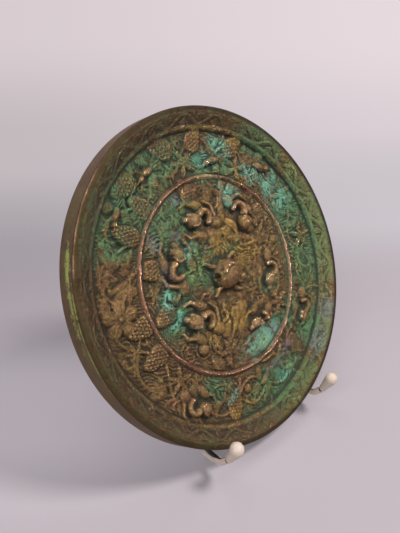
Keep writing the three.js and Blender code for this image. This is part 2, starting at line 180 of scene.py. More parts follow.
def beast(u, v, side, mm):
    """A crouching beast: glossy round head, an arched tail beside it, ribbed haunches and bent legs."""
    forms = [
        dome(u, v, (0.2, 0), (0.19, 0.165), 0.22),
        strand(u, v, arc((0.2, 0), 0.12, 70, 290), 0.035, 0.215, 0.9),
        dome(u, v, (0.38, 0.03 * side), (0.1, 0.08), 0.15),
        dome(u, v, (0.26, 0.12 * side), (0.1, 0.06), 0.15),
        strand(u, v, arc((-0.1, 0.03 * side), 0.15, 30 * side, 225 * side, 12), 0.095, 0.2, 0.75),
        strand(u, v, arc((-0.56, 0.16 * side), 0.13, -90 * side, -330 * side, 10, 0.5), 0.05, 0.09, 0.6),
    ]
    haunches = [
        ((-0.42, -0.1), (0.2, 0.15), 0.13), ((0.02, 0.3), (0.2, 0.13), 0.12),
        ((0.05, -0.33), (0.22, 0.12), 0.12),
    ]
    for place, reach, rise in haunches:
        hump = dome(u, v, (place[0], place[1] * side), reach, rise, 0.4 * side)
        forms.append(ribbed(hump, 0.5 * mm, grooves(u * 0.6 + v * side, 0.06, 0.55 * mm)))
    legs = [
        [(0.1, 0.3), (0.3, 0.38), (0.46, 0.3)],
        [(0.12, -0.32), (0.34, -0.34), (0.46, -0.24)],
        [(-0.4, 0.05), (-0.36, 0.28), (-0.18, 0.38)],
    ]
    for leg in legs:
        forms.append(strand(u, v, [(a, b * side) for a, b in leg], 0.06, 0.11, 0.7))
    return np.maximum.reduce(forms)


def bird(u, v, side, mm):
    """A bird with spread, ribbed wings and a fan tail."""
    spread = np.arctan2(v, -(u - 0.1))
    forms = [
        dome(u, v, (0, 0), (0.24, 0.11), 0.19),
        dome(u, v, (0.26, 0.05 * side), (0.1, 0.085), 0.2),
        strand(u, v, [(0.32, 0.06 * side), (0.46, 0.12 * side)], 0.04, 0.14),
        ribbed(dome(u, v, (-0.4, 0), (0.24, 0.17), 0.1), 0.3 * mm, grooves(spread, 0.16, 0.035)),
    ]
    for hand in (-1, 1):
        wing = dome(u, v, (-0.06, 0.27 * hand), (0.15, 0.24), 0.13, -0.45 * hand)
        forms.append(ribbed(wing, 0.4 * mm, grooves(u + 0.5 * hand * v, 0.075, 0.035)))
    return np.maximum.reduce(forms)


def grapes(u, v, side, mm):
    """A hanging bunch: round berries packed over a swelling bunch, with a stalk."""
    pitch = 0.14
    row_pitch = pitch * math.sqrt(3)
    outline = 1 - np.abs(u / 0.56) ** 2.3 - (v / (0.36 * (1.0 - 0.55 * u))) ** 2
    swell = np.sqrt(np.clip(outline, 0, 1))
    berries = np.zeros_like(u)
    for shift in (0.0, 0.5):
        row = np.round(u / row_pitch - shift) + shift
        column = np.round(v / pitch - shift) + shift
        away = (u - row * row_pitch) ** 2 + (v - column * pitch) ** 2
        berries = np.maximum(berries, np.sqrt(np.clip(1 - away / (0.56 * pitch) ** 2, 0, 1)))
    bunch = np.where(outline > 0, 0.1 * swell + 0.12 * berries * np.clip(swell * 2, 0, 1), 0)
    return np.maximum(bunch, strand(u, v, [(-0.45, 0), (-0.62, 0.08), (-0.72, 0.2)], 0.05, 0.1))


def leaf(u, v, side, mm):
    """A vine leaf of five veined lobes with a raised edge."""
    angle = np.arctan2(v, u)
    away = np.hypot(u, v)
    share = away / (0.5 * (0.66 + 0.34 * np.cos(5 * angle)) * (1 + 0.06 * np.cos(15 * angle)))
    blade = np.where(share < 1, 0.1 * (1 - share ** 6) + 0.027 * share, 0)
    vein = 0.05 * np.exp(-(np.sin(2.5 * angle) * away / 0.035) ** 2) * (share < 0.95)
    ribs = 0.018 * np.cos(away * 46) * (share < 0.9) * (away > 0.1)
    return np.clip(blade + vein + ribs, 0, None)


def blossom(u, v, side, mm):
    """An open flower of five broad petals, each with a rib, round a boss."""
    angle = np.arctan2(v, u)
    away = np.hypot(u, v)
    outline = 0.5 * (0.42 + 0.58 * np.abs(np.cos(2.5 * angle)) ** 0.4)
    share = np.clip(away / outline, 0, 1)
    blades = 0.12 * (1 - share ** 6) * (0.8 + 0.2 * share)
    rib = 0.03 * np.exp(-(np.sin(2.5 * angle) * away / 0.04) ** 2) * (share < 0.9) * (away > 0.1)
    return np.maximum(blades + rib, dome(u, v, (0, 0), (0.1, 0.1), 0.17))


def boss(u, v, side, mm):
    """A small round stud in a ring."""
    ring = 0.16 * np.clip(1 - ((np.hypot(u, v) - 0.62) / 0.12) ** 2, 0, 1)
    return np.maximum(dome(u, v, (0, 0), (0.46, 0.46), 0.42), ring)


def plume(u, v, side, mm):
    """Broad ribbed feathers that spread from one root."""
    forms = []
    for spread in (-0.75, -0.25, 0.25, 0.75):
        middle = (0.16 * math.cos(spread), 0.24 * math.sin(spread))
        feather = dome(u, v, middle, (0.36, 0.13), 0.12, spread * 0.8)
        across = v * math.cos(spread * 0.8) - u * math.sin(spread * 0.8)
        forms.append(ribbed(feather, 0.3 * mm, grooves(across, 0.085, 0.02)))
    return np.maximum(np.maximum.reduce(forms), 0)


def tendril(u, v, side, mm):
    """A thin stem that winds up into a curl."""
    stem = [(-0.5, -0.1 * side), (-0.2, 0.02 * side)]
    curl = arc((0.12, 0.1 * side), 0.3, -120 * side, 250 * side, 12, 0.72)
    return strand(u, v, stem + curl, 0.07, 0.13, 0.65)


def striated(u, v, side, mm):
    """A long narrow leaf with furrows along it."""
    return ribbed(dome(u, v, (0, 0), (0.5, 0.17), 0.17), 0.02, grooves(v + 0.12 * u * side, 0.085, 0.035))


MOTIFS = {
    "beast": beast, "bird": bird, "grapes": grapes, "leaf": leaf, "blossom": blossom, "boss": boss,
    "plume": plume, "tendril": tendril, "striated": striated,
}

# Where the large motifs lie, by kind: clock angle in degrees from the right, distance from the middle,
# heading, length and hand. Distance and length are shares of the face radius.
LAYOUT = {
    "beast": [
        (54, 0.40, -70, 0.29, 1), (104, 0.365, 176, 0.28, -1), (158, 0.36, 78, 0.29, 1),
        (219, 0.345, 160, 0.29, -1), (346, 0.385, -118, 0.26, 1), (297, 0.40, 190, 0.25, 1),
        (235, 0.79, 320, 0.25, -1), (325, 0.75, 240, 0.26, 1),
    ],
    "boss": [
        (12, 0.50, 0, 0.08, 1), (230, 0.48, 0, 0.085, 1), (111, 0.50, 0, 0.05, 1),
        (264.6, 0.72, 0, 0.07, 1), (13.3, 0.71, 0, 0.06, 1), (349, 0.68, 0, 0.06, 1),
    ],
    "grapes": [
        (104, 0.54, 100, 0.16, 1), (163, 0.545, 170, 0.16, 1), (192, 0.51, 200, 0.15, 1),
        (38, 0.50, 40, 0.15, 1), (107, 0.83, 160, 0.17, 1), (131, 0.82, 200, 0.17, 1),
        (133, 0.68, 130, 0.16, 1), (148, 0.70, 150, 0.16, 1), (89, 0.83, 60, 0.16, 1),
        (67, 0.82, 30, 0.17, 1), (190, 0.67, 190, 0.16, 1), (205, 0.69, 200, 0.16, 1),
        (255, 0.80, 250, 0.16, 1), (305, 0.76, 300, 0.16, 1),
    ],
    "leaf": [
        (74, 0.49, 80, 0.2, 1), (148, 0.56, 150, 0.12, 1), (322, 0.49, 320, 0.19, 1),
        (255, 0.47, 250, 0.17, 1), (98, 0.70, 110, 0.18, 1), (64, 0.69, 60, 0.18, 1),
        (29, 0.78, 30, 0.2, 1), (5, 0.77, 10, 0.2, 1), (338, 0.80, 340, 0.17, 1),
        (292, 0.70, 280, 0.18, 1), (222, 0.70, 220, 0.17, 1),
    ],
    "bird": [
        (118.5, 0.77, 205, 0.22, 1), (142, 0.79, 235, 0.21, 1), (79, 0.70, 180, 0.22, 1),
        (49, 0.79, 330, 0.24, 1), (277, 0.73, 20, 0.22, 1),
    ],
    "blossom": [
        (182.3, 0.76, 10, 0.23, 1),
    ],
    "plume": [
        (162, 0.76, 75, 0.18, 1), (170, 0.69, 230, 0.18, 1), (217, 0.80, 130, 0.17, 1),
    ],
    "striated": [
        (76, 0.40, 82, 0.2, 1), (66, 0.50, 70, 0.19, 1), (267, 0.30, 60, 0.16, -1),
        (284, 0.62, 350, 0.19, 1),
    ],
    "tendril": [
        (148, 0.50, 30, 0.13, 1), (236, 0.40, 120, 0.14, -1),
    ],
}

# Patches of colour, wear and painted highlight: across, up, half width, half height (shares of the face
# radius), turn
PATCHES = {
    "turquoise": [
        (0.22, 0.76, 0.16, 0.10, -30), (0.07, 0.70, 0.12, 0.08, 0), (0.47, 0.55, 0.16, 0.09, -35),
        (0.58, 0.46, 0.13, 0.12, 0), (0.21, 0.48, 0.13, 0.09, -20), (-0.26, 0.19, 0.12, 0.07, 20),
        (-0.47, -0.05, 0.07, 0.12, 0), (-0.43, -0.15, 0.09, 0.06, 10), (0.16, -0.48, 0.24, 0.11, 10),
        (0.17, 0.42, 0.08, 0.06, 0), (0.66, 0.36, 0.12, 0.12, 0), (-0.20, -0.71, 0.09, 0.04, 20),
        (0.26, -0.76, 0.10, 0.05, 10), (0.37, 0.60, 0.07, 0.06, 0),
    ],
    "green": [
        (-0.54, 0.52, 0.32, 0.26, 45), (-0.28, 0.72, 0.30, 0.16, 15), (-0.66, 0.34, 0.13, 0.12, 0),
        (-0.30, 0.38, 0.28, 0.16, 20), (0.10, 0.66, 0.30, 0.14, -8), (0.72, 0.25, 0.22, 0.36, 0),
        (0.74, -0.10, 0.20, 0.34, 0), (-0.26, 0.14, 0.23, 0.19, 0), (-0.40, -0.12, 0.16, 0.20, 0),
        (0.45, -0.40, 0.20, 0.12, 30), (0.20, -0.78, 0.36, 0.16, 12), (0.62, -0.55, 0.22, 0.20, 0),
        (0.90, 0.15, 0.12, 0.50, 0), (0.55, 0.75, 0.25, 0.16, -40), (-0.12, 0.05, 0.14, 0.12, 0),
        (-0.80, 0.45, 0.12, 0.30, -30), (0.35, -0.15, 0.12, 0.08, 0), (-0.30, -0.62, 0.16, 0.08, -20),
    ],
    "lime": [
        (-0.17, 0.13, 0.11, 0.09, 0), (-0.24, 0.06, 0.07, 0.07, 0), (-0.04, 0.10, 0.08, 0.05, -30),
        (0.16, -0.50, 0.09, 0.05, 10), (0.30, -0.71, 0.07, 0.05, 0), (0.22, -0.93, 0.15, 0.07, 8),
        (-0.08, -0.93, 0.10, 0.04, 5), (0.12, 0.14, 0.10, 0.08, 0), (0.02, 0.60, 0.20, 0.05, 0),
        (0.70, -0.12, 0.06, 0.10, 0), (0.75, 0.55, 0.16, 0.05, -52),
    ],
    "ochre": [
        (-0.06, -0.28, 0.24, 0.12, 10), (0.10, 0.89, 0.34, 0.05, -4), (0.33, 0.77, 0.10, 0.09, 0),
        (0.12, 0.26, 0.14, 0.12, 0), (0.20, 0.07, 0.16, 0.12, 0), (-0.22, -0.80, 0.10, 0.05, 20),
        (-0.05, -0.80, 0.10, 0.05, 0), (0.02, 0.20, 0.10, 0.10, 0), (-0.12, 0.44, 0.16, 0.04, 10),
        (0.30, 0.55, 0.06, 0.10, 0),
    ],
    # Rubbed copper-red spots, most also painted highlights on beast heads, the ring and the rim
    "copper_and_glint": [
        (0.20, 0.35, 0.09, 0.05, 20), (0.34, -0.12, 0.08, 0.06, 0), (0.42, -0.03, 0.08, 0.05, 30),
        (0.15, -0.34, 0.08, 0.04, 20), (0.66, -0.16, 0.05, 0.04, 0), (0.61, -0.39, 0.05, 0.04, 0),
        (0.55, -0.44, 0.06, 0.04, 20), (-0.36, 0.67, 0.08, 0.05, 0), (-0.15, 0.34, 0.10, 0.08, 0),
        (-0.33, 0.15, 0.07, 0.05, 0), (-0.33, -0.06, 0.07, 0.10, 0), (-0.30, -0.20, 0.08, 0.05, 0),
        (0.09, 0.88, 0.30, 0.03, -4), (0.84, -0.38, 0.05, 0.12, -20), (0.70, 0.02, 0.05, 0.06, 0),
    ],
    "violet": [
        (0.22, -0.68, 0.14, 0.05, 8), (0.36, -0.60, 0.08, 0.05, 30), (0.62, -0.66, 0.20, 0.06, 42),
        (-0.45, 0.30, 0.06, 0.08, 0), (-0.22, 0.50, 0.06, 0.04, 0), (-0.42, 0.10, 0.05, 0.08, 0),
        (0.78, -0.50, 0.07, 0.14, -30), (-0.28, 0.30, 0.06, 0.05, 0), (0.30, -0.46, 0.08, 0.04, 10),
    ],
}

# Where the relief is worn down, with the share of its height that is left
WORN = [
    (0.64, 0.40, 0.15, 0.13, 0, 0.7),
    (0.22, -0.68, 0.14, 0.05, 8, 0.30),
    (0.66, -0.60, 0.20, 0.14, 40, 0.60),
]

# The smooth bare patch low on the inner field, with a raised border
BARE_PATCH = (0.17, -0.475, 0.22, 0.095, 10)


def patch_share(x, y, patch):
    """How far each point is from a patch's middle: 0 there and 1 at its edge."""
    across, up, half_width, half_height, turn = patch
    angle = math.radians(turn)
    du = x / FACE_RADIUS - across
    dv = y / FACE_RADIUS - up
    along = (du * math.cos(angle) + dv * math.sin(angle)) / half_width
    aside = (dv * math.cos(angle) - du * math.sin(angle)) / half_height
    return np.sqrt(along ** 2 + aside ** 2)


def waver(x, y, seed):
    """A smooth irregular value round 0 from a few crossing waves."""
    chance = np.random.default_rng(seed)
    value = np.zeros_like(x)
    for octave in range(4):
        for _ in range(4):
            angle, phase = chance.uniform(0, 2 * math.pi, 2)
            along = (x * math.cos(angle) + y * math.sin(angle)) * 2 * math.pi / (46 / 1.9 ** octave)
            value += np.sin(along + phase) / 1.45 ** octave
    return value / 4


def blurred(values, reach):
    """The mean over a square of that half width, in samples."""
    padded = np.pad(values, reach + 1, mode="edge")
    total = padded.cumsum(0).cumsum(1)
    side = 2 * reach + 1
    square = total[side:, side:] - total[:-side, side:] - total[side:, :-side] + total[:-side, :-side]
    return square[: values.shape[0], : values.shape[1]] / side ** 2


class ReliefSheet:
    """Heights of the cast relief over the field, on a fine square grid."""

    PITCH = 0.3
    REACH = 123.0

    def __init__(self):
        count = int(2 * self.REACH / self.PITCH) + 1
        self.line = np.linspace(-self.REACH, self.REACH, count)
        self.pitch = self.line[1] - self.line[0]
        self.x, self.y = np.meshgrid(self.line, self.line)
        self.radius = np.hypot(self.x, self.y)
        self.height = np.zeros_like(self.x)

    def window(self, across, up, reach):
        """The rows and columns round a place."""
        column = int((across + self.REACH) / self.pitch)
        row = int((up + self.REACH) / self.pitch)
        span = int(reach / self.pitch) + 2
        return (slice(max(row - span, 0), row + span), slice(max(column - span, 0), column + span))

    def stamp(self, kind, across, up, heading, length, side):
        """Sets a motif on the sheet; a beast first lowers what lies round it."""
        area = self.window(across, up, length * 0.85)
        dx, dy = self.x[area] - across, self.y[area] - up
        turn = math.radians(heading)
        u = (dx * math.cos(turn) + dy * math.sin(turn)) / length
        v = (dy * math.cos(turn) - dx * math.sin(turn)) / length
        if kind == "beast":
            round_it = (u / 0.52) ** 2 + (v / 0.42) ** 2
            self.height[area] *= 1 - 0.8 * np.exp(-round_it ** 2)
        shape = MOTIFS[kind](u, v, side, 1 / length) * length
        self.height[area] = np.maximum(self.height[area], shape)

    def ridge(self, points, width, rise, tip=1.0):
        """Sets a strand on the sheet."""
        across, up = zip(*points)
        reach = max(max(across) - min(across), max(up) - min(up)) / 2 + width * 2
        area = self.window((max(across) + min(across)) / 2, (max(up) + min(up)) / 2, reach)
        self.height[area] = np.maximum(
            self.height[area], strand(self.x[area], self.y[area], points, width, rise, tip))

    def at(self, values, x, y):
        """The grid's values at other places, between its samples."""
        fx = np.clip((x + self.REACH) / self.pitch, 0, len(self.line) - 1.001)
        fy = np.clip((y + self.REACH) / self.pitch, 0, len(self.line) - 1.001)
        ix, iy = fx.astype(int), fy.astype(int)
        sx, sy = fx - ix, fy - iy
        low = values[iy, ix] * (1 - sx) + values[iy, ix + 1] * sx
        high = values[iy + 1, ix] * (1 - sx) + values[iy + 1, ix + 1] * sx
        return low * (1 - sy) + high * sy


def add_vines(sheet):
    """Stems that wave round the outer and the inner field."""
    for middle, swing, waves, phase in ((0.75, 0.085, 9, 0.4), (0.74, 0.08, 9, 3.5), (0.36, 0.12, 6, 1.0)):
        steps = 180
        points = []
        for i in range(steps + 1):
            angle = 2 * math.pi * i / steps
            reach = FACE_RADIUS * (middle + swing * math.sin(waves * angle + phase))
            points.append((reach * math.cos(angle), reach * math.sin(angle)))
        for i in range(0, steps, 6):
            sheet.ridge(points[i:i + 7], 1.3, 2.1)


def add_knob(sheet):
    """The crouching beast drawn up into a dome, with the legs that hold the plate."""
    r = KNOB_RADIUS
    area = sheet.window(0, 0, r * 1.6)
    u, v = sheet.x[area], sheet.y[area]
    body = dome(u, v, (0, 0), (r, r * 0.86), KNOB_HEIGHT)
    body -= np.where(body > 5, grooves(np.hypot(u - 3, v + 2), 2.6, 0.5), 0)
    head = dome(u, v, (r * 0.66, -r * 0.35), (r * 0.48, r * 0.42), KNOB_HEIGHT * 0.86)
    nose = dome(u, v, (r * 0.98, -r * 0.5), (r * 0.24, r * 0.2), KNOB_HEIGHT * 0.6)
    brow = strand(u, v, arc((r * 0.62, -r * 0.3), r * 0.36, 60, 250), 1.3, KNOB_HEIGHT * 0.95, 0.9)
    spine = strand(u, v, arc((0, -r * 0.1), r * 0.62, 150, -20), 2.2, KNOB_HEIGHT * 1.03, 0.8)
    height = np.maximum.reduce([body, head, nose, brow, spine])
    for leg in (((-0.5, 0.5), (-0.9, 0.62), (-1.2, 0.85)), ((-0.5, -0.6), (-0.85, -0.72), (-1.1, -1.0)),
                ((0.2, 0.6), (0.5, 0.85), (0.95, 1.0)), ((0.3, -0.7), (0.5, -1.0), (0.85, -1.15))):
        points = [(a * r, b * r) for a, b in leg]
        height = np.maximum(height, strand(u, v, points, 2.4, 4.6, 0.75))
    sheet.height[area] = np.maximum(sheet.height[area], height)


def add_filling(sheet, count, seed):
    """Small leaves, curls, buds and berries in the gaps that the large motifs leave."""
    chance = np.random.default_rng(seed)
    kinds = ["leaf", "tendril", "striated", "grapes", "plume", "boss", "tendril", "leaf"]
    for _ in range(count):
        angle = chance.uniform(0, 360)
        share = math.sqrt(chance.uniform(0.16 ** 2, 0.845 ** 2))
        kind = kinds[chance.integers(len(kinds))]
        length = chance.uniform(9, 15) * (0.45 if kind == "boss" else 1)
        heading = chance.uniform(0, 360)
        side = 1 if chance.uniform() > 0.5 else -1
        across = share * FACE_RADIUS * math.cos(math.radians(angle))
        up = share * FACE_RADIUS * math.sin(math.radians(angle))
        near_ring = abs(share * FACE_RADIUS - RING_RADIUS) < RING_HALF + length * 0.3
        area = sheet.window(across, up, length * 0.4)
        if near_ring or sheet.height[area].mean() > 1.3:
            continue
        sheet.stamp(kind, across, up, heading, length, side)


def add_rim_scrolls(sheet, units):
    """The band on the slope of the rim: a stem that waves round it, with a curl in every bend."""
    middle = (BAND_INNER + 1 + LIP_INNER - LIP_STEP) / 2
    bends = 2 * units
    steps = 10
    for i in range(bends):
        points = []
        for j in range(steps + 1):
            angle = 2 * math.pi * (i + j / steps) / bends
            reach = middle + 2.5 * math.sin(units * angle)
            points.append((reach * math.cos(angle), reach * math.sin(angle)))
        sheet.ridge(points, 1.1, 0.95)
        side = 1 if i % 2 == 0 else -1
        angle = 2 * math.pi * (i + 0.5) / bends
        reach = middle - side * 0.9
        heart = (reach * math.cos(angle), reach * math.sin(angle))
        start = math.degrees(angle) + (90 if side > 0 else -90)
        sheet.ridge(arc(heart, 2.5, start, start + 480, 18, 0.8), 0.95, 1.1, 0.7)


def place_large(sheet, kinds):
    """Stamps the layout's motifs of those kinds."""
    for kind in kinds:
        for clock, share, heading, length, side in LAYOUT[kind]:
            angle = math.radians(clock)
            reach = share * FACE_RADIUS
            across, up = reach * math.cos(angle), reach * math.sin(angle)
            sheet.stamp(kind, across, up, heading, length * FACE_RADIUS, side)


def feathered(x, y, seed):
    """Fine ribs that fan and turn from place to place, from 0 to 1."""
    turn = waver(x * 0.9, y * 0.9, seed + 5) * 2.6
    along = x * 0.62 + y * 0.78 + waver(x * 0.5, y * 0.5, seed + 6) * 9
    return 0.5 + 0.5 * np.sin(2 * math.pi * along / 2.6 + turn)


def cast_relief(settings):
    """The whole relief as a sheet of heights over the turned face."""
    sheet = ReliefSheet()
    add_vines(sheet)
    place_large(sheet, [kind for kind in LAYOUT if kind != "beast"])
    add_filling(sheet, settings.filling, settings.seed)
    low_ground = np.clip(1 - sheet.height / 1.6, 0, 1)
    sheet.height += low_ground * feathered(sheet.x, sheet.y, settings.seed) * 0.8
    place_large(sheet, ["beast"])
    add_knob(sheet)
    outside_ring = np.clip((np.abs(sheet.radius - RING_RADIUS) - RING_HALF * 0.5) / RING_HALF, 0.15, 1)
    sheet.height *= outside_ring
    sheet.height *= np.clip((BAND_INNER - 0.8 - sheet.radius) / 1.6, 0, 1)
    wide_rise = np.clip((sheet.radius - FIELD_RISE) / (FIELD_EDGE - FIELD_RISE), 0, 1)
    sheet.height *= 1 - 0.35 * wide_rise
    wander = waver(sheet.x, sheet.y, settings.seed)
    for *patch, keep in WORN:
        inside = np.clip(1.6 - patch_share(sheet.x, sheet.y, patch) + wander * 0.25, 0, 1)
        sheet.height *= 1 - inside * (1 - keep)
    bare = patch_share(sheet.x, sheet.y, BARE_PATCH) + wander * 0.12
    sheet.height *= np.clip((bare - 0.95) * 8, 0.12, 1)
    border = np.exp(-((bare - 1.04) / 0.06) ** 2)
    sheet.height = np.maximum(sheet.height, border * 1.4)
    rim = ReliefSheet()
    add_rim_scrolls(rim, settings.rim_units)
    rim.height += feathered(sheet.x * 1.2, sheet.y * 1.2, settings.seed + 3) * 0.35
    rim.height *= np.clip(0.75 + 0.5 * wander, 0.2, 1.2)
    on_band = (sheet.radius > BAND_INNER + 0.4) & (sheet.radius < LIP_INNER - LIP_STEP - 0.4)
    sheet.height = np.where(on_band, rim.height, sheet.height)
    crust = waver(sheet.x * 3.1, sheet.y * 3.1, settings.seed + 1) * 0.16
    inside_lip = sheet.radius < LIP_INNER - LIP_STEP
    sheet.height += np.where(sheet.radius < BAND_INNER, crust, crust * 0.4) * inside_lip
    sheet.height *= settings.relief_share
    return sheet


def turned_height(radius):
    """The height of the turned face, without relief."""
    return np.interp(radius, [p[0] for p in FACE_PROFILE], [p[1] for p in FACE_PROFILE])


# Editing helpers


def start_clean():
    if bpy.context.object and bpy.context.object.mode != "OBJECT":
        bpy.ops.object.mode_set(mode="OBJECT")
    bpy.ops.object.select_all(action="DESELECT")


def take(obj):
    """Makes obj the only one selected and the active one."""
    start_clean()
    obj.select_set(True)
    bpy.context.view_layer.objects.active = obj
    return obj


def added(name):
    obj = bpy.context.object
    obj.name = name
    obj.data.name = name
    return obj


def apply_modifier(obj, kind, **settings):
    take(obj)
    modifier = obj.modifiers.new(kind.title(), kind)
    for key, value in settings.items():
        setattr(modifier, key, value)
    bpy.ops.object.modifier_apply(modifier=modifier.name)


def close_seams(obj):
    """Merges doubles and turns every face outwards."""
    take(obj)
    bpy.ops.object.mode_set(mode="EDIT")
    bpy.ops.mesh.select_all(action="SELECT")
    bpy.ops.mesh.remove_doubles(threshold=1e-6)
    bpy.ops.mesh.normals_make_consistent(inside=False)
    bpy.ops.object.mode_set(mode="OBJECT")


def draw_out(rings, radius, level):
    """Extrudes the selected edge or face up to each ring, given as radius and height, in turn."""
    for next_radius, next_level in rings:
        bpy.ops.mesh.extrude_region_move(TRANSFORM_OT_translate={"value": (0, 0, next_level - level)})
        growth = next_radius / radius
        bpy.ops.transform.resize(value=(growth, growth, 1), center_override=(0, 0, next_level))
        radius, level = next_radius, next_level


def smooth(obj, degrees):
    take(obj)
    bpy.ops.object.shade_smooth_by_angle(angle=math.radians(degrees))


def finish_piece(obj, nodes, material):
    """Gives a finished piece its material, hangs it from the root body and hides the solids it stands in for.
    """
    obj.data.materials.clear()
    obj.data.materials.append(material)
    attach(obj, "root")
    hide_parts(*nodes)


def face_matrix():
    """From the mirror's own millimetres to its place on the easel, in metres."""
    up = Vector((0, math.sin(LEAN), math.cos(LEAN)))
    out = Vector((0, -math.cos(LEAN), math.sin(LEAN)))
    across = Vector((1, 0, 0))
    turn = Matrix((across, up, out)).transposed().to_4x4()
    return Matrix.Translation(MIRROR_ORIGIN * MM) @ turn @ Matrix.Scale(MM, 4)


# The mirror's mesh


def ring_radius(share):
    """The radius of the mesh ring at that share of the way out."""
    counts = np.cumsum([p[2] for p in FACE_PROFILE])
    return np.interp(share, counts / counts[-1], [p[0] for p in FACE_PROFILE])


def disc_places(square):
    """Moves a grid's points, each from -1 to 1, onto rings of a disc."""
    a, b = square[:, 0], square[:, 1]
    wide = np.abs(a) >= np.abs(b)
    share = np.where(wide, np.abs(a), np.abs(b))
    safe_a, safe_b = np.where(a == 0, 1, a), np.where(b == 0, 1, b)
    angle = np.where(wide, math.pi / 4 * b / safe_a, math.pi / 2 - math.pi / 4 * a / safe_b)
    angle = np.where(np.where(wide, a, b) < 0, angle + math.pi, angle)
    radius = ring_radius(share)
    return radius * np.cos(angle), radius * np.sin(angle)


def read_points(mesh):
    """The mesh's points as rows of X, Y and Z."""
    flat = np.empty(len(mesh.vertices) * 3)
    mesh.vertices.foreach_get("co", flat)
    return flat.reshape(-1, 3)


def write_points(mesh, points):
    mesh.vertices.foreach_set("co", points.ravel())
    mesh.update()


def relief_face(sheet):
    """The face: a grid drawn out to a disc and raised by the relief."""
    cells = 2 * sum(p[2] for p in FACE_PROFILE)
    start_clean()
    bpy.ops.mesh.primitive_grid_add(x_subdivisions=cells, y_subdivisions=cells, size=2)
    obj = added("bronze_mirror")
    points = read_points(obj.data)
    x, y = disc_places(points)
    radius = np.hypot(x, y)
    height = turned_height(radius) + sheet.at(sheet.height, x, y)
    write_points(obj.data, np.column_stack([x, y, height]))
    return obj


def wall_and_back(obj):
    """Draws the edge of the face out into the wall, round the back and shut in the middle."""
    take(obj)
    bpy.ops.object.mode_set(mode="EDIT")
    bpy.ops.mesh.select_mode(type="EDGE")
    bpy.ops.mesh.select_all(action="DESELECT")
    bpy.ops.mesh.select_non_manifold(extend=False, use_wire=False, use_boundary=True,
                                     use_multi_face=False, use_non_contiguous=False, use_verts=False)
    draw_out(WALL_PROFILE, FLAT_RADIUS, RIM_HEIGHT)
    rise = -BACK_RISE - WALL_PROFILE[-1][1]
    bpy.ops.mesh.extrude_region_move(TRANSFORM_OT_translate={"value": (0, 0, rise)})
    bpy.ops.mesh.merge(type="CENTER")
    bpy.ops.object.mode_set(mode="OBJECT")


def bore_knob(obj):
    """The cord hole across the knob."""
    start_clean()
    bpy.ops.mesh.primitive_cylinder_add(
        vertices=28, radius=KNOB_HOLE / 2, depth=KNOB_RADIUS * 2.9, location=(0, 0, KNOB_HOLE_LEVEL),
        rotation=(0, math.pi / 2, 0), scale=(0.72, 1.0, 1.0))
    cutter = added("knob_bore")
    apply_modifier(obj, "BOOLEAN", operation="DIFFERENCE", object=cutter, solver="MANIFOLD")
    bpy.data.objects.remove(cutter)


def bell(value, middle, width, power=2):
    """1 at the middle, falling to 0 on both sides; a higher power has a flatter top."""
    return np.exp(-((value - middle) / width) ** power)


def patina_layers(x, y, z, sheet, settings):
    """How strongly each colour of the patina, the crests and the hollows show at the points."""
    away = np.hypot(x, y)
    angle = np.degrees(np.arctan2(y, x)) % 360
    on_front = z > FRONT_LEVEL
    on_face = on_front & (away < FLAT_RADIUS)
    on_wall = (away > FACE_RADIUS - 0.9) & (z > 1)
    wander = waver(x * 1.6, y * 1.6, settings.seed + 2) * 0.5
    layers = {}
    for name, patches in PATCHES.items():
        nearest = np.minimum.reduce([patch_share(x, y, patch) for patch in patches])
        layers[name] = np.clip(1.35 - nearest + wander * 0.5, 0, 1) * on_front
    surface = sheet.height + turned_height(sheet.radius)
    near = sheet.at(surface - blurred(surface, 3), x, y)
    wide = sheet.at(surface - blurred(surface, 14), x, y)
    level = np.clip(sheet.at(sheet.height, x, y) / TALLEST_FORM, 0, 1)
    # Crests, later lightened as rubbed wear and in part as a painted highlight
    layers["crest"] = np.where(on_face, np.clip(near * 0.9 + wide * 0.2, -1, 1), 0)
    # Hollows, later darkened as dirt and as painted shade
    layers["hollow"] = np.where(on_face, np.clip(-wide * 0.3 - near * 1.1, 0, 1), 0)
    layers["level"] = np.where(on_face & (away < BAND_INNER), level, 0)
    layers["ring"] = bell(away, RING_RADIUS, 1.4) * on_front
    layers["wall"] = on_wall.astype(float)
    layers["back"] = (z < BACK_LEVEL).astype(float)

    broad_streak = bell(angle, 168, 20, 4) * bell(z, 10.5, 3.2) * 0.85
    thin_streak = bell(angle, 182, 18, 4) * bell(z, 14.9, 0.8)
    layers["streak"] = np.where(on_wall, np.maximum(broad_streak, thin_streak), 0)
    lip = np.clip((away - LIP_INNER + 0.2) / 0.7, 0, 1) * (z > RIM_HEIGHT - 1.5)
    layers["lip"] = lip
    # The lip, darkened most towards the upper right and least on the lower left
    layers["lip_shade"] = lip * np.clip(0.5 + 0.6 * np.cos(np.radians(angle - 40)), 0.35, 1)
    # A painted highlight along the lip's upper-left edge, coloured as rubbed copper
    layers["edge"] = bell(away, FACE_RADIUS - 0.6, 0.8) * bell(angle, 150, 28, 4) * (z > RIM_HEIGHT - 1.6)
    right = np.clip(x / FACE_RADIUS * 0.9 - y / FACE_RADIUS * 0.12 + 0.14, 0, 1)
    band = np.clip((away - BAND_INNER + 1) / 2, 0, 1) * on_front * (1 - lip)
    layers["rim"] = band * right
    layers["band"] = band * (1 - right) * (1 - on_wall)
    return layers


def paint_patina(obj, sheet, settings):
    """Keeps the patina's layers on the mesh as attributes."""
    x, y, z = read_points(obj.data).T
    for name, values in patina_layers(x, y, z, sheet, settings).items():
        layer = obj.data.attributes.new(name, "FLOAT", "POINT")
        layer.data.foreach_set("value", values.astype(np.float32))


# Materials


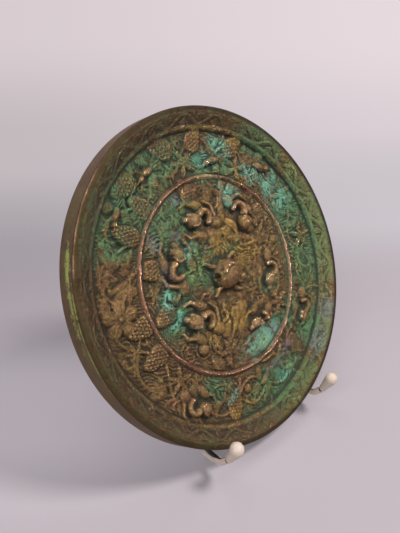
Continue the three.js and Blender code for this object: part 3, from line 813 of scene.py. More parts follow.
class Value:
    """A shader socket that takes part in Python sums."""

    def __init__(self, tree, socket):
        self.tree = tree
        self.socket = socket

    def math(self, operation, *others):
        node = self.tree.nodes.new("ShaderNodeMath")
        node.operation = operation
        for slot, value in zip(node.inputs, (self, *others)):
            connect(self.tree, slot, value)
        return Value(self.tree, node.outputs[0])

    def __add__(self, other):
        return self.math("ADD", other)

    def __sub__(self, other):
        return self.math("SUBTRACT", other)

    def __mul__(self, other):
        return self.math("MULTIPLY", other)

    def __rsub__(self, other):
        return (self * -1) + other

    __radd__ = __add__
    __rmul__ = __mul__

    def clamped(self):
        held = self.math("MULTIPLY", 1.0)
        held.socket.node.use_clamp = True
        return held

    def between(self, low, high):
        """0 below low, 1 above high and a soft step from one to the other."""
        node = self.tree.nodes.new("ShaderNodeMapRange")
        node.interpolation_type = "SMOOTHSTEP"
        connect(self.tree, node.inputs["Value"], self)
        node.inputs["From Min"].default_value = low
        node.inputs["From Max"].default_value = high
        return Value(self.tree, node.outputs["Result"])


def connect(tree, slot, value):
    """Feeds a slot from another node, or sets it to a constant."""
    if isinstance(value, Value):
        tree.links.new(value.socket, slot)
    elif slot.type == "RGBA":
        slot.default_value = (*value, 1)
    else:
        slot.default_value = value


class Finish:
    """A material with its nodes."""

    def __init__(self, name):
        self.material = bpy.data.materials.new(name)
        self.material.use_nodes = True
        self.tree = self.material.node_tree
        self.shader = self.tree.nodes["Principled BSDF"]
        self.place = self.node("ShaderNodeTexCoord", output="Object")

    def node(self, kind, settings=None, inputs=None, output=0):
        node = self.tree.nodes.new(kind)
        for key, value in (settings or {}).items():
            setattr(node, key, value)
        for key, value in (inputs or {}).items():
            connect(self.tree, node.inputs[key], value)
        return Value(self.tree, node.outputs[output])

    def noise(self, scale, detail=4.0, roughness=0.55, distortion=0.0, place=None):
        return self.node("ShaderNodeTexNoise", inputs={
            "Vector": place or self.place, "Scale": scale, "Detail": detail,
            "Roughness": roughness, "Distortion": distortion})

    def attribute(self, name):
        return self.node("ShaderNodeAttribute", {"attribute_name": name}, output="Fac")

    def mix(self, share, low, high):
        node = self.tree.nodes.new("ShaderNodeMix")
        node.data_type = "RGBA"
        connect(self.tree, node.inputs[0], share)
        connect(self.tree, node.inputs[6], low)
        connect(self.tree, node.inputs[7], high)
        return Value(self.tree, node.outputs[2])

    def bump(self, height, distance, strength):
        return self.node("ShaderNodeBump", inputs={
            "Height": height, "Distance": distance, "Strength": strength})

    def set(self, **values):
        """Sets the shader's sockets, named with _ for each space."""
        for key, value in values.items():
            connect(self.tree, self.shader.inputs[key.replace("_", " ")], value)
        return self.material


def bronze_finish(settings):
    """Old bronze: brown metal, thin green and turquoise crusts in the ground, ochre stains, rubbed crests,
    with painted shade in the hollows and painted highlights on crests and edges.
    """
    made = Finish("patinated_bronze")
    broad = made.noise(22, 5, 0.6, 0.4)
    blotch = made.noise(80, 7, 0.68, 0.7)
    grain = made.noise(340, 7, 0.72, 0.3)
    speck = made.noise(1150, 4, 0.65)
    shifted = made.node("ShaderNodeMapping", inputs={"Vector": made.place, "Location": (3.0, 1.0, 2.0)})
    rust = made.noise(130, 6, 0.72, 0.4, shifted)
    blotchy, grainy, specky = blotch - 0.5, grain - 0.5, speck - 0.5
    mixed = blotch * 0.6 + grain * 0.4
    break_up = blotchy * 1.3 + grainy * 1.7 + specky * 0.7
    crest, hollow, level, ring, wall, lip, edge, streak, rim, on_band = (made.attribute(name) for name in (
        "crest", "hollow", "level", "ring", "wall", "lip", "edge", "streak", "rim", "band"))

    # Bare brown metal with a thin olive and russet skin
    brown = made.mix(mixed.between(0.36, 0.64), settings.umber, settings.brown)
    # Painted highlight in part: crests and high forms lightened towards tan, besides the real wear there
    raised = (crest * 0.8 + level * 0.2 + specky * 0.9).between(0.1, 0.85)
    brown = made.mix(raised * 0.68, brown, settings.tan)
    green_patch = made.attribute("green") * (1 - wall * 0.8)
    olive = ((broad - 0.5) * 1.8 + grainy * 1.6).between(-0.2, 0.45)
    colour = made.mix(olive * (green_patch * 0.35 + 0.32), brown, settings.olive)
    colour = made.mix(rust.between(0.46, 0.68) * 0.6, colour, settings.russet)
    ochre = (made.attribute("ochre") + break_up * 0.8 - 0.1).between(0.2, 0.95)
    colour = made.mix(ochre * 0.42, colour, settings.ochre)

    # Green, turquoise and lime crusts
    green_place = green_patch * 0.98 + rim * (broad * 0.9 - 0.1) - level * 0.55 - crest * 0.65 - lip * 0.5
    green = (green_place + break_up * 1.05).between(0.1, 0.95)
    green_tone = made.mix(grain.between(0.32, 0.68), settings.malachite_dark, settings.malachite)
    colour = made.mix(green * 0.88, colour, made.mix(rim * 0.5, green_tone, settings.olive))
    turquoise = (made.attribute("turquoise") + break_up - crest * 0.35 - level * 0.3).between(0.3, 1.15)
    pale = made.mix((speck * 0.6 + grain * 0.4).between(0.42, 0.62), settings.turquoise, settings.verdigris)
    colour = made.mix(turquoise * 0.8, colour, pale)
    lime_place = made.attribute("lime") * 0.65 + streak * 1.1
    lime = (lime_place + break_up * (1.1 + streak)).between(0.45, 1.0)
    lime_tone = made.mix(speck.between(0.4, 0.65), settings.lime, settings.lime_pale)
    colour = made.mix(lime * 0.85, colour, made.mix((1 - wall) * 0.35, lime_tone, settings.malachite))

    # The band, bare blue-grey spots, the high forms, the lip and the wall
    band = (on_band + blotchy * 0.8).between(0.3, 0.9)
    colour = made.mix(band * 0.74, colour, settings.band)
    violet = (made.attribute("violet") + grainy * 1.4 - 0.1).between(0.25, 0.95)
    colour = made.mix(violet * 0.45, colour, settings.violet)
    below_knob_top = 1 - level.between(0.95, 1.0) * 0.7
    high_form = level.between(0.4, 0.85) * below_knob_top * (blotch.between(0.38, 0.6) * 0.45 + 0.2)
    colour = made.mix(high_form, colour, settings.chestnut)
    colour = made.mix(lip * 0.6, colour, settings.umber)
    mottle = (grain * 0.6 + blotch * 0.4).between(0.44, 0.6) * (lip + on_band + wall * 0.5).clamped()
    colour = made.mix(mottle * 0.5, colour, settings.malachite_dark)
    wall_tone = made.mix((blotch * 0.5 + grain * 0.5).between(0.35, 0.65), settings.olive, settings.lime)
    colour = made.mix(wall * (1 - lip) * broad.between(0.35, 0.75) * 0.15, colour, wall_tone)
    colour = made.mix(wall * (1 - streak) * 0.6, colour, settings.band)

    # Dirt and painted shade in the hollows, a darker lip, handled crests partly lit by painted highlights and
    # the polished back
    # Painted shade with real dirt: the hollows are darkened towards near black
    dirt_and_shade = (hollow * 1.6 + grainy * 0.9 + specky * 0.6).between(0.08, 0.62)
    colour = made.mix(dirt_and_shade * 0.9, colour, settings.dirt_and_shade)
    colour = made.mix(made.attribute("lip_shade") * (1 - edge) * 0.75, colour, settings.dirt_and_shade)
    # Rubbed crests and ring, partly painted highlights, most plainly along the lip's edge and at the
    # copper-red spots
    rubbed_and_glint_place = crest * 1.05 - level * 0.2 + made.attribute("copper_and_glint") * 0.34 + ring * 0.28 + edge * 0.85
    rubbed = (rubbed_and_glint_place + specky * 0.8 + blotchy * 0.9).between(0.5, 1.05)
    colour = made.mix(ring * 0.8 * mixed.between(0.38, 0.56), colour, settings.copper_skin)
    rubbed_tone = made.mix((ring + edge).clamped(), settings.rubbed, settings.copper_and_glint)
    colour = made.mix(rubbed * 0.85, colour, rubbed_tone)
    polish = made.attribute("back") * broad.between(0.3, 0.6)
    colour = made.mix(polish * 0.5, colour, settings.umber)
    colour = made.node("ShaderNodeHueSaturation", inputs={
        "Color": colour, "Saturation": 1.02, "Value": settings.brightness}, output="Color")

    crusty = (green * 0.5 + turquoise + lime).clamped()
    metallic = 0.58 - crusty * 0.45 + rubbed * 0.4 - dirt_and_shade * 0.3 + violet * 0.1 + lip * 0.35 - wall * 0.1
    dull = crusty * 0.14 + dirt_and_shade * 0.3 + wall * 0.3 + lip * 0.15 + grainy * 0.45 + blotchy * 0.25
    glossy = rubbed * 0.08 + violet * 0.06 + level.between(0.4, 0.9) * 0.12 + polish * 0.08
    ribs = made.node("ShaderNodeTexWave", {"bands_direction": "DIAGONAL"}, {
        "Vector": made.place, "Scale": 330, "Distortion": 22, "Detail": 3, "Detail Scale": 0.35,
    }, output="Fac")
    crust = blotch * 0.7 + grain * (1.0 + crusty * 0.5) + speck * 0.55 + ribs * (1 - wall) * (1 - lip) * 0.12
    return made.set(
        Base_Color=colour,
        Metallic=metallic.clamped(),
        Roughness=(0.26 + dull - glossy).clamped(),
        Specular_IOR_Level=0.35,
        Normal=made.bump(crust, 0.0011, 1.0),
    )


def paint_finish(settings):
    """Black paint on wire: thick and a little uneven, with dust and rubbed spots."""
    made = Finish("black_wire_paint")
    drips = made.noise(240, 4)
    dust = made.noise(900, 5, 0.7)
    colour = made.mix(dust.between(0.5, 0.75) * 0.35, settings.paint, settings.dust)
    worn = made.noise(1500, 4).between(0.66, 0.74)
    colour = made.mix(worn * 0.5, colour, settings.bare_wire)
    return made.set(
        Base_Color=colour,
        Metallic=worn * 0.8,
        Roughness=0.36 + dust * 0.25,
        Normal=made.bump(drips + dust * 0.2, 0.0003, 0.6),
    )


def vinyl_finish(name, settings):
    """Cream vinyl: soft, handled and slightly grubby, with a moulded skin."""
    made = Finish(name)
    cloud = made.noise(120, 5, 0.6)
    grime = made.noise(480, 6, 0.7)
    skin = made.noise(2400, 3)
    colour = made.mix(cloud.between(0.35, 0.7), settings.vinyl, settings.vinyl_shade)
    colour = made.mix(grime.between(0.62, 0.8) * 0.55, colour, settings.vinyl_grime)
    return made.set(
        Base_Color=colour,
        Subsurface_Weight=0.15,
        Subsurface_Radius=(0.004, 0.003, 0.002),
        Subsurface_Scale=0.5,
        Roughness=0.42 + grime * 0.2,
        Normal=made.bump(skin * 0.4 + grime * 0.6, 0.0002, 0.5),
    )


# The easel

SIDE = 53.0
WIRE_RADIUS = 1.4
CROSS_RADIUS = 1.35
FOOT_LEVEL = WIRE_RADIUS
REST_GAP = 0.4
BACK_BULGE = 0.8
CREASE_AHEAD = 6.4
ARM_RISE = 7.4
ARM_SLOPE = math.radians(47)
TROUGH_RUN = 9.5
BACKREST_HEIGHT = 18.0
TOP_RUN = 13.0
TOP_RISE = 1.5
REAR_REACH = 93.8
REAR_CROSS_SETBACK = 10.0
FRONT_FEET = 36.0
BEND = 4.0
TIP_LEAN = math.radians(26)
TIP_LENGTH = 19.5
TIP_BORE = 12.0
TIP_END = 4.85
TIP_BASE = 2.9
FIT_GAP = 0.35
SLEEVE_RADIUS = 2.45
SLEEVE_WALL = 0.65
SLEEVE_SLIT = 2.3
SLEEVE_SAG = 4.4
LEFT_SLEEVE = 25.0
RIGHT_SLEEVE = 11.0


def on_mirror(up, out):
    """A place on the mirror's middle section, as (Y, Z) in millimetres."""
    place = face_matrix() @ Vector((0, up, out)) / MM
    return Vector((place.y, place.z))


def side_corners():
    """The corners of one side wire, as (Y, Z), from the prong's end round to the heel."""
    front = on_mirror(-math.sqrt(FACE_RADIUS ** 2 - SIDE ** 2), RIM_HEIGHT)
    back = on_mirror(-math.sqrt(BACK_RADIUS ** 2 - SIDE ** 2), 0)
    trough = back.y - REST_GAP - WIRE_RADIUS
    crease = Vector((front.x - CREASE_AHEAD, trough + ARM_RISE))
    prong = Vector((-math.sin(TIP_LEAN), math.cos(TIP_LEAN)))
    heel = Vector((back.x + TROUGH_RUN, trough))
    top = on_mirror(BACKREST_HEIGHT, -(BACK_BULGE + REST_GAP + WIRE_RADIUS))
    table_shift = MIRROR_ORIGIN.y - RIM_HEIGHT * math.cos(LEAN)
    return {
        "prong": prong,
        "wire_end": crease + prong * (TIP_BORE - FIT_GAP),
        "crease": crease,
        "arm_start": Vector((crease.x + ARM_RISE / math.tan(ARM_SLOPE), trough)),
        "heel": heel,
        "top": top,
        "shoulder": top + Vector((TOP_RUN, TOP_RISE)),
        "rear_foot": Vector((REAR_REACH + table_shift, FOOT_LEVEL)),
        "front_foot": Vector((heel.x, FOOT_LEVEL)),
        "middle": Vector((table_shift, FOOT_LEVEL)),
    }


def rounded(corners, radius, steps=6):
    """The path through the corners, with each bend drawn round."""
    path = [corners[0]]
    for before, corner, after in zip(corners, corners[1:], corners[2:]):
        incoming, outgoing = (corner - before).normalized(), (after - corner).normalized()
        turn = incoming.angle(outgoing)
        start = corner - incoming * radius * math.tan(turn / 2)
        inward = (outgoing - incoming * outgoing.dot(incoming)).normalized()
        for i in range(steps + 1):
            angle = turn * i / steps
            path.append(start + incoming * radius * math.sin(angle) + inward * radius * (1 - math.cos(angle)))
    path.append(corners[-1])
    return path


def draw_polyline(curve, places, closed=False):
    """Gives a curve one straight-sided run through places in millimetres."""
    curve.splines.clear()
    spline = curve.splines.new("POLY")
    spline.points.add(len(places) - 1)
    for point, place in zip(spline.points, places):
        point.co = (*(Vector(place) * MM), 1)
    spline.use_cyclic_u = closed


def swept(name, path, radius=None, section=None):
    """Round wire, or a sleeve of another section, along a path in millimetres."""
    start_clean()
    bpy.ops.curve.primitive_bezier_curve_add()
    obj = added(name)
    curve = obj.data
    draw_polyline(curve, path)
    curve.dimensions = "3D"
    curve.twist_mode = "Z_UP"
    curve.use_fill_caps = True
    if section:
        curve.bevel_mode = "OBJECT"
        curve.bevel_object = section
    else:
        curve.bevel_depth = radius * MM
        curve.bevel_resolution = 5
    take(obj)
    bpy.ops.object.convert(target="MESH")
    close_seams(obj)
    return obj


def weld_bead(place, swell):
    """The uneven bead of metal where two wires meet."""
    start_clean()
    bpy.ops.mesh.primitive_uv_sphere_add(segments=18, ring_count=12, radius=WIRE_RADIUS * swell * MM)
    obj = added("weld_bead")
    points = read_points(obj.data)
    ripple = 1 + 0.05 * np.sin(points[:, 0] * 5200) * np.cos(points[:, 1] * 4300 + 1)
    points *= ripple[:, None] * np.array([1.25, 1.0, 0.85])
    write_points(obj.data, points + np.array(Vector(place) * MM))
    return obj


def join_all(pieces, name):
    start_clean()
    for piece in pieces:
        piece.select_set(True)
    bpy.context.view_layer.objects.active = pieces[0]
    bpy.ops.object.join()
    return added(name)


def rail_half_width(y):
    """How far from the middle the rails lie at y: they run together towards the front."""
    places = side_corners()
    back, front = places["rear_foot"].x, places["front_foot"].x
    return SIDE + (FRONT_FEET - SIDE) * (back - y) / (back - front)


def build_easel():
    """Two bent side wires and three cross wires, with a bead of weld wherever they meet."""
    places = side_corners()
    run = ["wire_end", "crease", "arm_start", "heel", "top", "shoulder", "rear_foot", "front_foot", "heel"]
    pieces = []
    for side in (-1, 1):
        corners = [Vector((side * SIDE, *places[key])) for key in run]
        corners[-2].x = side * FRONT_FEET
        pieces.append(swept("side_wire", rounded(corners, BEND), WIRE_RADIUS))
        pieces.append(weld_bead((side * SIDE, places["heel"].x, places["heel"].y - 0.6), 1.3))
    top_bar = places["top"] + Vector((TOP_RUN / 2, TOP_RISE / 2))
    rear_bar = places["rear_foot"] - Vector((REAR_CROSS_SETBACK, 0))
    for place, half_width in ((top_bar, SIDE), (rear_bar, rail_half_width(rear_bar.x)),
                              (places["middle"], rail_half_width(places["middle"].x))):
        ends = [Vector((-half_width, *place)), Vector((half_width, *place))]
        pieces.append(swept("cross_wire", ends, CROSS_RADIUS))
        for end in ends:
            inward = -math.copysign(1.1, end.x)
            pieces.append(weld_bead((end.x + inward, end.y, max(end.z + 0.25, WIRE_RADIUS * 1.15)), 1.12))
    return join_all(pieces, "easel_wire")


def sleeve_section():
    """The sleeve cut across: an open ring with its slit on top and rounded lips."""
    outer, inner = SLEEVE_RADIUS, SLEEVE_RADIUS - SLEEVE_WALL
    middle = (outer + inner) / 2
    half_slit = math.asin(SLEEVE_SLIT / 2 / middle)
    start, end = math.pi / 2 + half_slit, 2.5 * math.pi - half_slit
    steps, lip = 26, 0.12
    angles = [start + (end - start) * i / steps for i in range(steps + 1)]
    corners = [(outer, angle) for angle in angles] + [(middle, end + lip)]
    corners += [(inner, angle) for angle in reversed(angles)] + [(middle, start - lip)]
    start_clean()
    bpy.ops.curve.primitive_bezier_circle_add()
    obj = added("sleeve_section")
    obj.data.dimensions = "2D"
    draw_polyline(obj.data, [(r * math.cos(a), r * math.sin(a), 0) for r, a in corners], closed=True)
    return obj


def build_sleeve(name, x, length):
    """A slit sleeve that hugs the wire at the prong and sags off it further back."""
    places = side_corners()
    down = (places["arm_start"] - places["crease"]).normalized()
    start = places["crease"] + down * (BEND / 2)
    sag_start = places["arm_start"] - down * 0.5
    steep = (sag_start - start).length
    run = length - steep
    sag = SLEEVE_SAG * run / (LEFT_SLEEVE - steep)
    loose = [sag_start + Vector((run * 0.45, -sag * 0.75)), sag_start + Vector((run * 0.93, -sag))]
    path = rounded([Vector((x, *corner)) for corner in [start, sag_start] + loose], BEND / 2, 5)
    section = sleeve_section()
    obj = swept(name, path, section=section)
    bpy.data.objects.remove(section)
    return obj


def build_tip(name, x):
    """A drop-shaped cap, drawn up from its base ring by ring, with a seam round its foot."""
    places = side_corners()
    centre = TIP_LENGTH - TIP_END
    foot = TIP_BASE - 0.45
    rings = [(TIP_BASE - 0.1, 0.25), (TIP_BASE, 0.8), (TIP_BASE - 0.05, 1.3), (TIP_BASE - 0.3, 1.6),
             (TIP_BASE - 0.02, 1.95), (TIP_BASE + 0.2, 4.0)]
    steps = 10
    for i in range(steps + 1):
        angle = -0.35 + i / steps * (math.pi / 2 + 0.25)
        rings.append((TIP_END * math.cos(angle), centre + TIP_END * math.sin(angle)))
    start_clean()
    bpy.ops.mesh.primitive_circle_add(vertices=32, radius=foot, fill_type="NGON")
    obj = added(name)
    bpy.ops.object.mode_set(mode="EDIT")
    bpy.ops.mesh.select_all(action="SELECT")
    draw_out(rings, foot, 0)
    bpy.ops.object.mode_set(mode="OBJECT")
    points = read_points(obj.data)
    crown = points[:, 2] > centre
    dents = np.sin(points[crown, :1] * 1.9 + 1) * np.cos(points[crown, 1:2] * 2.3)
    points[crown] *= 1 - 0.012 * (1 + dents)
    write_points(obj.data, points)
    close_seams(obj)
    base = places["crease"] + places["prong"] * FIT_GAP
    lean = Matrix.Rotation(TIP_LEAN, 4, "X")
    place = Matrix.Translation(Vector((x, *base)) * MM) @ lean @ Matrix.Scale(MM, 4)
    obj.data.transform(place)
    return obj


# The stage

CAMERA_PLACE = (-0.2083, -0.2112, 0.2490)
CAMERA_TURN = (math.radians(67.0), 0.0, math.radians(-41.89))
CAMERA_LENS = 29.37
VIEW_TURN = math.radians(41.89)
CAMERA_DEPTH = 0.2963
CAMERA_ASIDE = -0.0141
FLOOR_RADIUS = 6.0
BACKDROP_DEPTH = 2.4
BACKDROP_HEIGHT = 4.0
LIGHT_TARGET = Vector((0, 0, 0.1))

# Each light's name, place, width, share of the key light's strength and colour
LIGHTS = [
    ("key", (0.35, -0.6, 1.05), 0.28, 1.0, (1.0, 0.96, 0.94)),
    ("window", (-0.9, -0.5, 0.6), 0.7, 0.55, (0.97, 0.97, 1.0)),
    ("overhead", (-0.1, 0.2, 1.3), 1.0, 0.35, (1.0, 0.98, 0.98)),
]


def stage_places(made):
    """How deep a place lies as seen from the camera, and how far right it is in the picture."""
    across = made.node("ShaderNodeSeparateXYZ", inputs={"Vector": made.place}, output="X")
    along = made.node("ShaderNodeSeparateXYZ", inputs={"Vector": made.place}, output="Y")
    depth = along * math.cos(VIEW_TURN) + across * math.sin(VIEW_TURN)
    aside = across * math.cos(VIEW_TURN) - along * math.sin(VIEW_TURN) + CAMERA_ASIDE
    right = aside.math("DIVIDE", depth + CAMERA_DEPTH).between(-0.5, 0.5)
    return depth, right


def build_floor(settings):
    """The near floor takes light and shadow, with painted shade on its left and painted light let into the
    mirror's shadow there; farther off it glows with painted light, darker on the left, like the backdrop.
    """
    start_clean()
    bpy.ops.mesh.primitive_circle_add(vertices=96, radius=FLOOR_RADIUS, fill_type="NGON")
    floor = added("floor")
    made = Finish("pale_floor")
    depth, right = stage_places(made)
    # Painted shade on the near floor's left, and painted light let into the mirror's shadow there
    left_shade = (1 - right) * depth.between(0.0, 0.12)
    in_shadow = (1 - right) * depth.between(-0.14, -0.04) * (1 - depth.between(0.02, 0.14))
    near = made.mix(left_shade, settings.floor, settings.floor_shade)
    far = depth.between(0.15, 0.52)
    lifted = made.mix(in_shadow, (0, 0, 0), settings.floor_lift)
    glow_left = made.mix(depth.between(0.3, 1.1), settings.floor_glow_left, settings.backdrop_left)
    glow_right = made.mix(depth.between(0.8, 2.4), settings.floor_glow_right, settings.backdrop_right)
    grain = made.noise(700, 4)
    floor.data.materials.append(made.set(
        Base_Color=made.mix(far, near, (0, 0, 0)),
        Emission_Color=made.mix(far, lifted, made.mix(right, glow_left, glow_right)),
        Emission_Strength=1,
        Specular_IOR_Level=0,
        Roughness=0.8 + grain * 0.1,
        Normal=made.bump(grain, 0.0001, 0.15),
    ))


def build_backdrop(settings):
    """An upright sheet of paper far behind the mirror, glowing with painted light a little brighter higher up
    and to the right.
    """
    start_clean()
    bpy.ops.mesh.primitive_plane_add(size=2)
    paper = added("backdrop")
    across = Vector((math.cos(VIEW_TURN), -math.sin(VIEW_TURN), 0))
    ahead = Vector((math.sin(VIEW_TURN), math.cos(VIEW_TURN), 0))
    turn = Matrix((across, Vector((0, 0, 1)), ahead)).transposed().to_4x4()
    middle = ahead * BACKDROP_DEPTH + Vector((0, 0, BACKDROP_HEIGHT / 2))
    scale = Matrix.Diagonal((FLOOR_RADIUS * 0.8, BACKDROP_HEIGHT / 2, 1, 1))
    paper.data.transform(Matrix.Translation(middle) @ turn @ scale)
    made = Finish("backdrop_paper")
    right = stage_places(made)[1]
    up = made.node("ShaderNodeSeparateXYZ", inputs={"Vector": made.place}, output="Z").between(-0.05, 0.5)
    # Painted light: the glow grows brighter to the right and higher up
    foot = made.mix(right, settings.backdrop_left, settings.backdrop_right)
    head = made.mix(right, settings.backdrop_top_left, settings.backdrop_top_right)
    paper.data.materials.append(made.set(
        Base_Color=(0, 0, 0), Emission_Color=made.mix(up, foot, head), Emission_Strength=1,
        Specular_IOR_Level=0, Roughness=1.0))


def area_light(name, place, size, watts, colour):
    """A soft round light that faces the mirror."""
    start_clean()
    bpy.ops.object.light_add(type="AREA", location=place)
    light = bpy.context.object
    light.name = name
    light.data.shape = "DISK"
    light.data.size = size
    light.data.energy = watts
    light.data.color = colour
    light.rotation_euler = (LIGHT_TARGET - Vector(place)).to_track_quat("-Z", "Y").to_euler()


def build_camera():
    start_clean()
    bpy.ops.object.camera_add(location=CAMERA_PLACE, rotation=CAMERA_TURN)
    camera = bpy.context.object
    camera.data.sensor_width = 36
    camera.data.lens = CAMERA_LENS
    camera.data.clip_start = 0.01
    bpy.context.scene.camera = camera


def build_world(settings):
    world = bpy.data.worlds.new("studio")
    world.use_nodes = True
    background = world.node_tree.nodes["Background"]
    background.inputs["Color"].default_value = (*settings.world_colour, 1)
    background.inputs["Strength"].default_value = settings.world_strength
    bpy.context.scene.world = world


# What a user can change


def tint(name, description, default):
    return FloatVectorProperty(name=name, description=description, subtype="COLOR", size=3,
                               min=0, max=1, default=default)


class MirrorSettings(bpy.types.PropertyGroup):
    relief_share: FloatProperty(
        name="Relief", description="Share of the relief's full height", default=1.0,
        min=0.2, max=1.2, subtype="FACTOR")
    filling: IntProperty(
        name="Filling", description="How many small motifs are tried in the gaps", default=520,
        min=0, max=2000)
    rim_units: IntProperty(
        name="Rim waves", description="Waves of the scroll round the rim band", default=24, min=8, max=40)
    seed: IntProperty(name="Seed", description="Draw of the small motifs and stains", default=7, min=0)
    brightness: FloatProperty(
        name="Brightness", description="How light the whole patina is", default=1.2,
        min=0.2, max=3, subtype="FACTOR")
    umber: tint("Umber", "Darkest bronze", (0.042, 0.027, 0.013))
    brown: tint("Brown", "Bare brown bronze", (0.180, 0.102, 0.040))
    # Tan laid on crests: worn bronze, partly a painted highlight
    tan: tint("Tan", "Raised bronze", (0.370, 0.238, 0.100))
    olive: tint("Olive", "Thin olive patina", (0.150, 0.128, 0.036))
    russet: tint("Russet", "Red-brown oxide", (0.180, 0.086, 0.048))
    chestnut: tint("Chestnut", "Glossy brown of the highest forms", (0.165, 0.085, 0.050))
    ochre: tint("Ochre", "Yellow-brown stains", (0.320, 0.205, 0.045))
    malachite_dark: tint("Dark malachite", "Green crust in the hollows", (0.022, 0.058, 0.026))
    malachite: tint("Malachite", "Green crust", (0.080, 0.205, 0.090))
    turquoise: tint("Turquoise", "Blue-green crust", (0.045, 0.175, 0.115))
    verdigris: tint("Verdigris", "Palest crust", (0.175, 0.470, 0.345))
    lime: tint("Lime", "Yellow-green crust", (0.310, 0.360, 0.060))
    lime_pale: tint("Pale lime", "Palest yellow-green crust", (0.460, 0.520, 0.170))
    band: tint("Band", "Dark red-brown of the rim band", (0.078, 0.044, 0.024))
    violet: tint("Violet", "Smooth blue-grey skin", (0.150, 0.148, 0.168))
    # Near black of the hollows: dirt and painted shade
    dirt_and_shade: tint("Dirt", "Dark matter in the hollows", (0.012, 0.009, 0.006))
    # Light bronze of handled crests, also serving as a painted highlight there
    rubbed: tint("Rubbed bronze", "Handled crests", (0.520, 0.370, 0.230))
    # Copper of the rubbed ring crest, also the painted highlight along the lip's edge
    copper_and_glint: tint("Copper", "Rubbed crest of the ring", (0.560, 0.310, 0.210))
    copper_skin: tint("Copper skin", "Reddish brown of the ring", (0.190, 0.090, 0.060))


class StandSettings(bpy.types.PropertyGroup):
    left_sleeve: FloatProperty(
        name="Left sleeve", description="Length of the left sleeve", default=LEFT_SLEEVE * MM, min=0.01,
        unit="LENGTH", subtype="DISTANCE")
    right_sleeve: FloatProperty(
        name="Right sleeve", description="Length of the right sleeve", default=RIGHT_SLEEVE * MM, min=0.01,
        unit="LENGTH", subtype="DISTANCE")
    paint: tint("Paint", "Black paint on the wire", (0.010, 0.009, 0.008))
    dust: tint("Dust", "Dust on the paint", (0.060, 0.055, 0.050))
    bare_wire: tint("Bare wire", "Rubbed wire", (0.280, 0.270, 0.260))
    vinyl: tint("Vinyl", "Cream vinyl", (0.455, 0.385, 0.325))
    vinyl_shade: tint("Vinyl shade", "Yellowed vinyl", (0.480, 0.390, 0.310))
    vinyl_grime: tint("Vinyl grime", "Handling marks", (0.330, 0.230, 0.150))


class StageSettings(bpy.types.PropertyGroup):
    floor: tint("Floor", "Floor round the easel", (0.312, 0.287, 0.310))
    floor_shade: tint("Shaded floor", "Floor left of the easel", (0.290, 0.270, 0.293))
    floor_lift: tint("Floor lift", "Light let into the shadow on the left", (0.150, 0.140, 0.150))
    floor_glow_left: tint("Floor glow left", "Floor behind the mirror, on the left", (0.390, 0.364, 0.393))
    floor_glow_right: tint("Floor glow right", "Floor behind the mirror, on the right", (0.600, 0.560, 0.597))
    backdrop_left: tint("Backdrop left", "Foot of the backdrop on the left", (0.545, 0.490, 0.515))
    backdrop_right: tint("Backdrop right", "Foot of the backdrop on the right", (0.700, 0.622, 0.655))
    backdrop_top_left: tint("Backdrop top left", "Upper backdrop on the left", (0.680, 0.600, 0.628))
    backdrop_top_right: tint("Backdrop top right", "Upper backdrop on the right", (0.790, 0.700, 0.732))
    world_colour: tint("Surroundings", "Soft light from all round", (0.95, 0.86, 0.89))
    world_strength: FloatProperty(
        name="Surroundings' strength", description="How bright the surroundings are", default=0.24, min=0)
    key_watts: FloatProperty(
        name="Key light", description="Strength of the large light", default=16.0, min=0, unit="POWER")


class MIRROR_OT_cast(bpy.types.Operator):
    """Cast the mirror with its relief and patina"""

    bl_idname = "mirror.cast"
    bl_label = "Cast the mirror"

    def execute(self, context):
        settings = context.scene.mirror_settings
        sheet = cast_relief(settings)
        obj = relief_face(sheet)
        wall_and_back(obj)
        bore_knob(obj)
        paint_patina(obj, sheet, settings)
        obj.data.transform(face_matrix())
        smooth(obj, 55)
        finish_piece(obj, ("mirror", "mirror_knob"), bronze_finish(settings))
        return {"FINISHED"}


class MIRROR_OT_easel(bpy.types.Operator):
    """Bend and weld the wire easel"""

    bl_idname = "mirror.easel"
    bl_label = "Bend the easel"

    def execute(self, context):
        obj = build_easel()
        smooth(obj, 50)
        finish_piece(obj, ("stand_frame",), paint_finish(context.scene.stand_settings))
        return {"FINISHED"}


class MIRROR_OT_sleeves(bpy.types.Operator):
    """Slip the slit sleeves over the prongs"""

    bl_idname = "mirror.sleeves"
    bl_label = "Add the sleeves"

    def execute(self, context):
        settings = context.scene.stand_settings
        material = vinyl_finish("cream_sleeve", settings)
        lengths = {"left": settings.left_sleeve, "right": settings.right_sleeve}
        for (side, length), x in zip(lengths.items(), (-SIDE, SIDE)):
            obj = build_sleeve("slit_sleeve_" + side, x, length / MM)
            smooth(obj, 50)
            finish_piece(obj, ("arm_sleeve_" + side,), material)
        return {"FINISHED"}


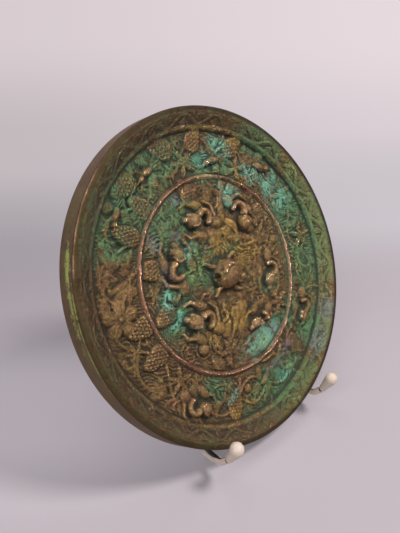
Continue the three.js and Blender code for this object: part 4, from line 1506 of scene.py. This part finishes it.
class MIRROR_OT_tips(bpy.types.Operator):
    """Push the drop-shaped tips over the wire ends"""

    bl_idname = "mirror.tips"
    bl_label = "Add the tips"

    def execute(self, context):
        material = vinyl_finish("cream_tip", context.scene.stand_settings)
        for side, x in (("left", -SIDE), ("right", SIDE)):
            obj = build_tip("drop_tip_" + side, x)
            smooth(obj, 60)
            finish_piece(obj, ("prong_tip_" + side,), material)
        return {"FINISHED"}


class MIRROR_OT_stage(bpy.types.Operator):
    """Set the floor, the soft lights and the camera"""

    bl_idname = "mirror.stage"
    bl_label = "Set the stage"

    def execute(self, context):
        settings = context.scene.stage_settings
        build_floor(settings)
        build_backdrop(settings)
        build_world(settings)
        for name, place, size, share, colour in LIGHTS:
            area_light(name, place, size, settings.key_watts * share, colour)
        build_camera()
        context.scene.view_settings.view_transform = "Standard"
        return {"FINISHED"}


class MIRROR_PT_panel(bpy.types.Panel):
    """Lists the mirror's settings and operators"""

    bl_label = "Bronze mirror"
    bl_idname = "MIRROR_PT_panel"
    bl_space_type = "VIEW_3D"
    bl_region_type = "UI"
    bl_category = "Mirror"

    def draw(self, context):
        for name in ("mirror_settings", "stand_settings", "stage_settings"):
            settings = getattr(context.scene, name)
            box = self.layout.box()
            for key in settings.__annotations__:
                box.prop(settings, key)
        for step in STEPS:
            self.layout.operator("mirror." + step)


STEPS = ("cast", "easel", "sleeves", "tips", "stage")
CLASSES = (
    MirrorSettings, StandSettings, StageSettings, MIRROR_OT_cast, MIRROR_OT_easel, MIRROR_OT_sleeves,
    MIRROR_OT_tips, MIRROR_OT_stage, MIRROR_PT_panel,
)


def register():
    for each in CLASSES:
        bpy.utils.register_class(each)
    bpy.types.Scene.mirror_settings = PointerProperty(type=MirrorSettings)
    bpy.types.Scene.stand_settings = PointerProperty(type=StandSettings)
    bpy.types.Scene.stage_settings = PointerProperty(type=StageSettings)


def unregister():
    del bpy.types.Scene.stage_settings
    del bpy.types.Scene.stand_settings
    del bpy.types.Scene.mirror_settings
    for each in reversed(CLASSES):
        bpy.utils.unregister_class(each)


def main():
    register()
    for step in STEPS:
        getattr(bpy.ops.mirror, step)()


if __name__ == "__main__":
    main()
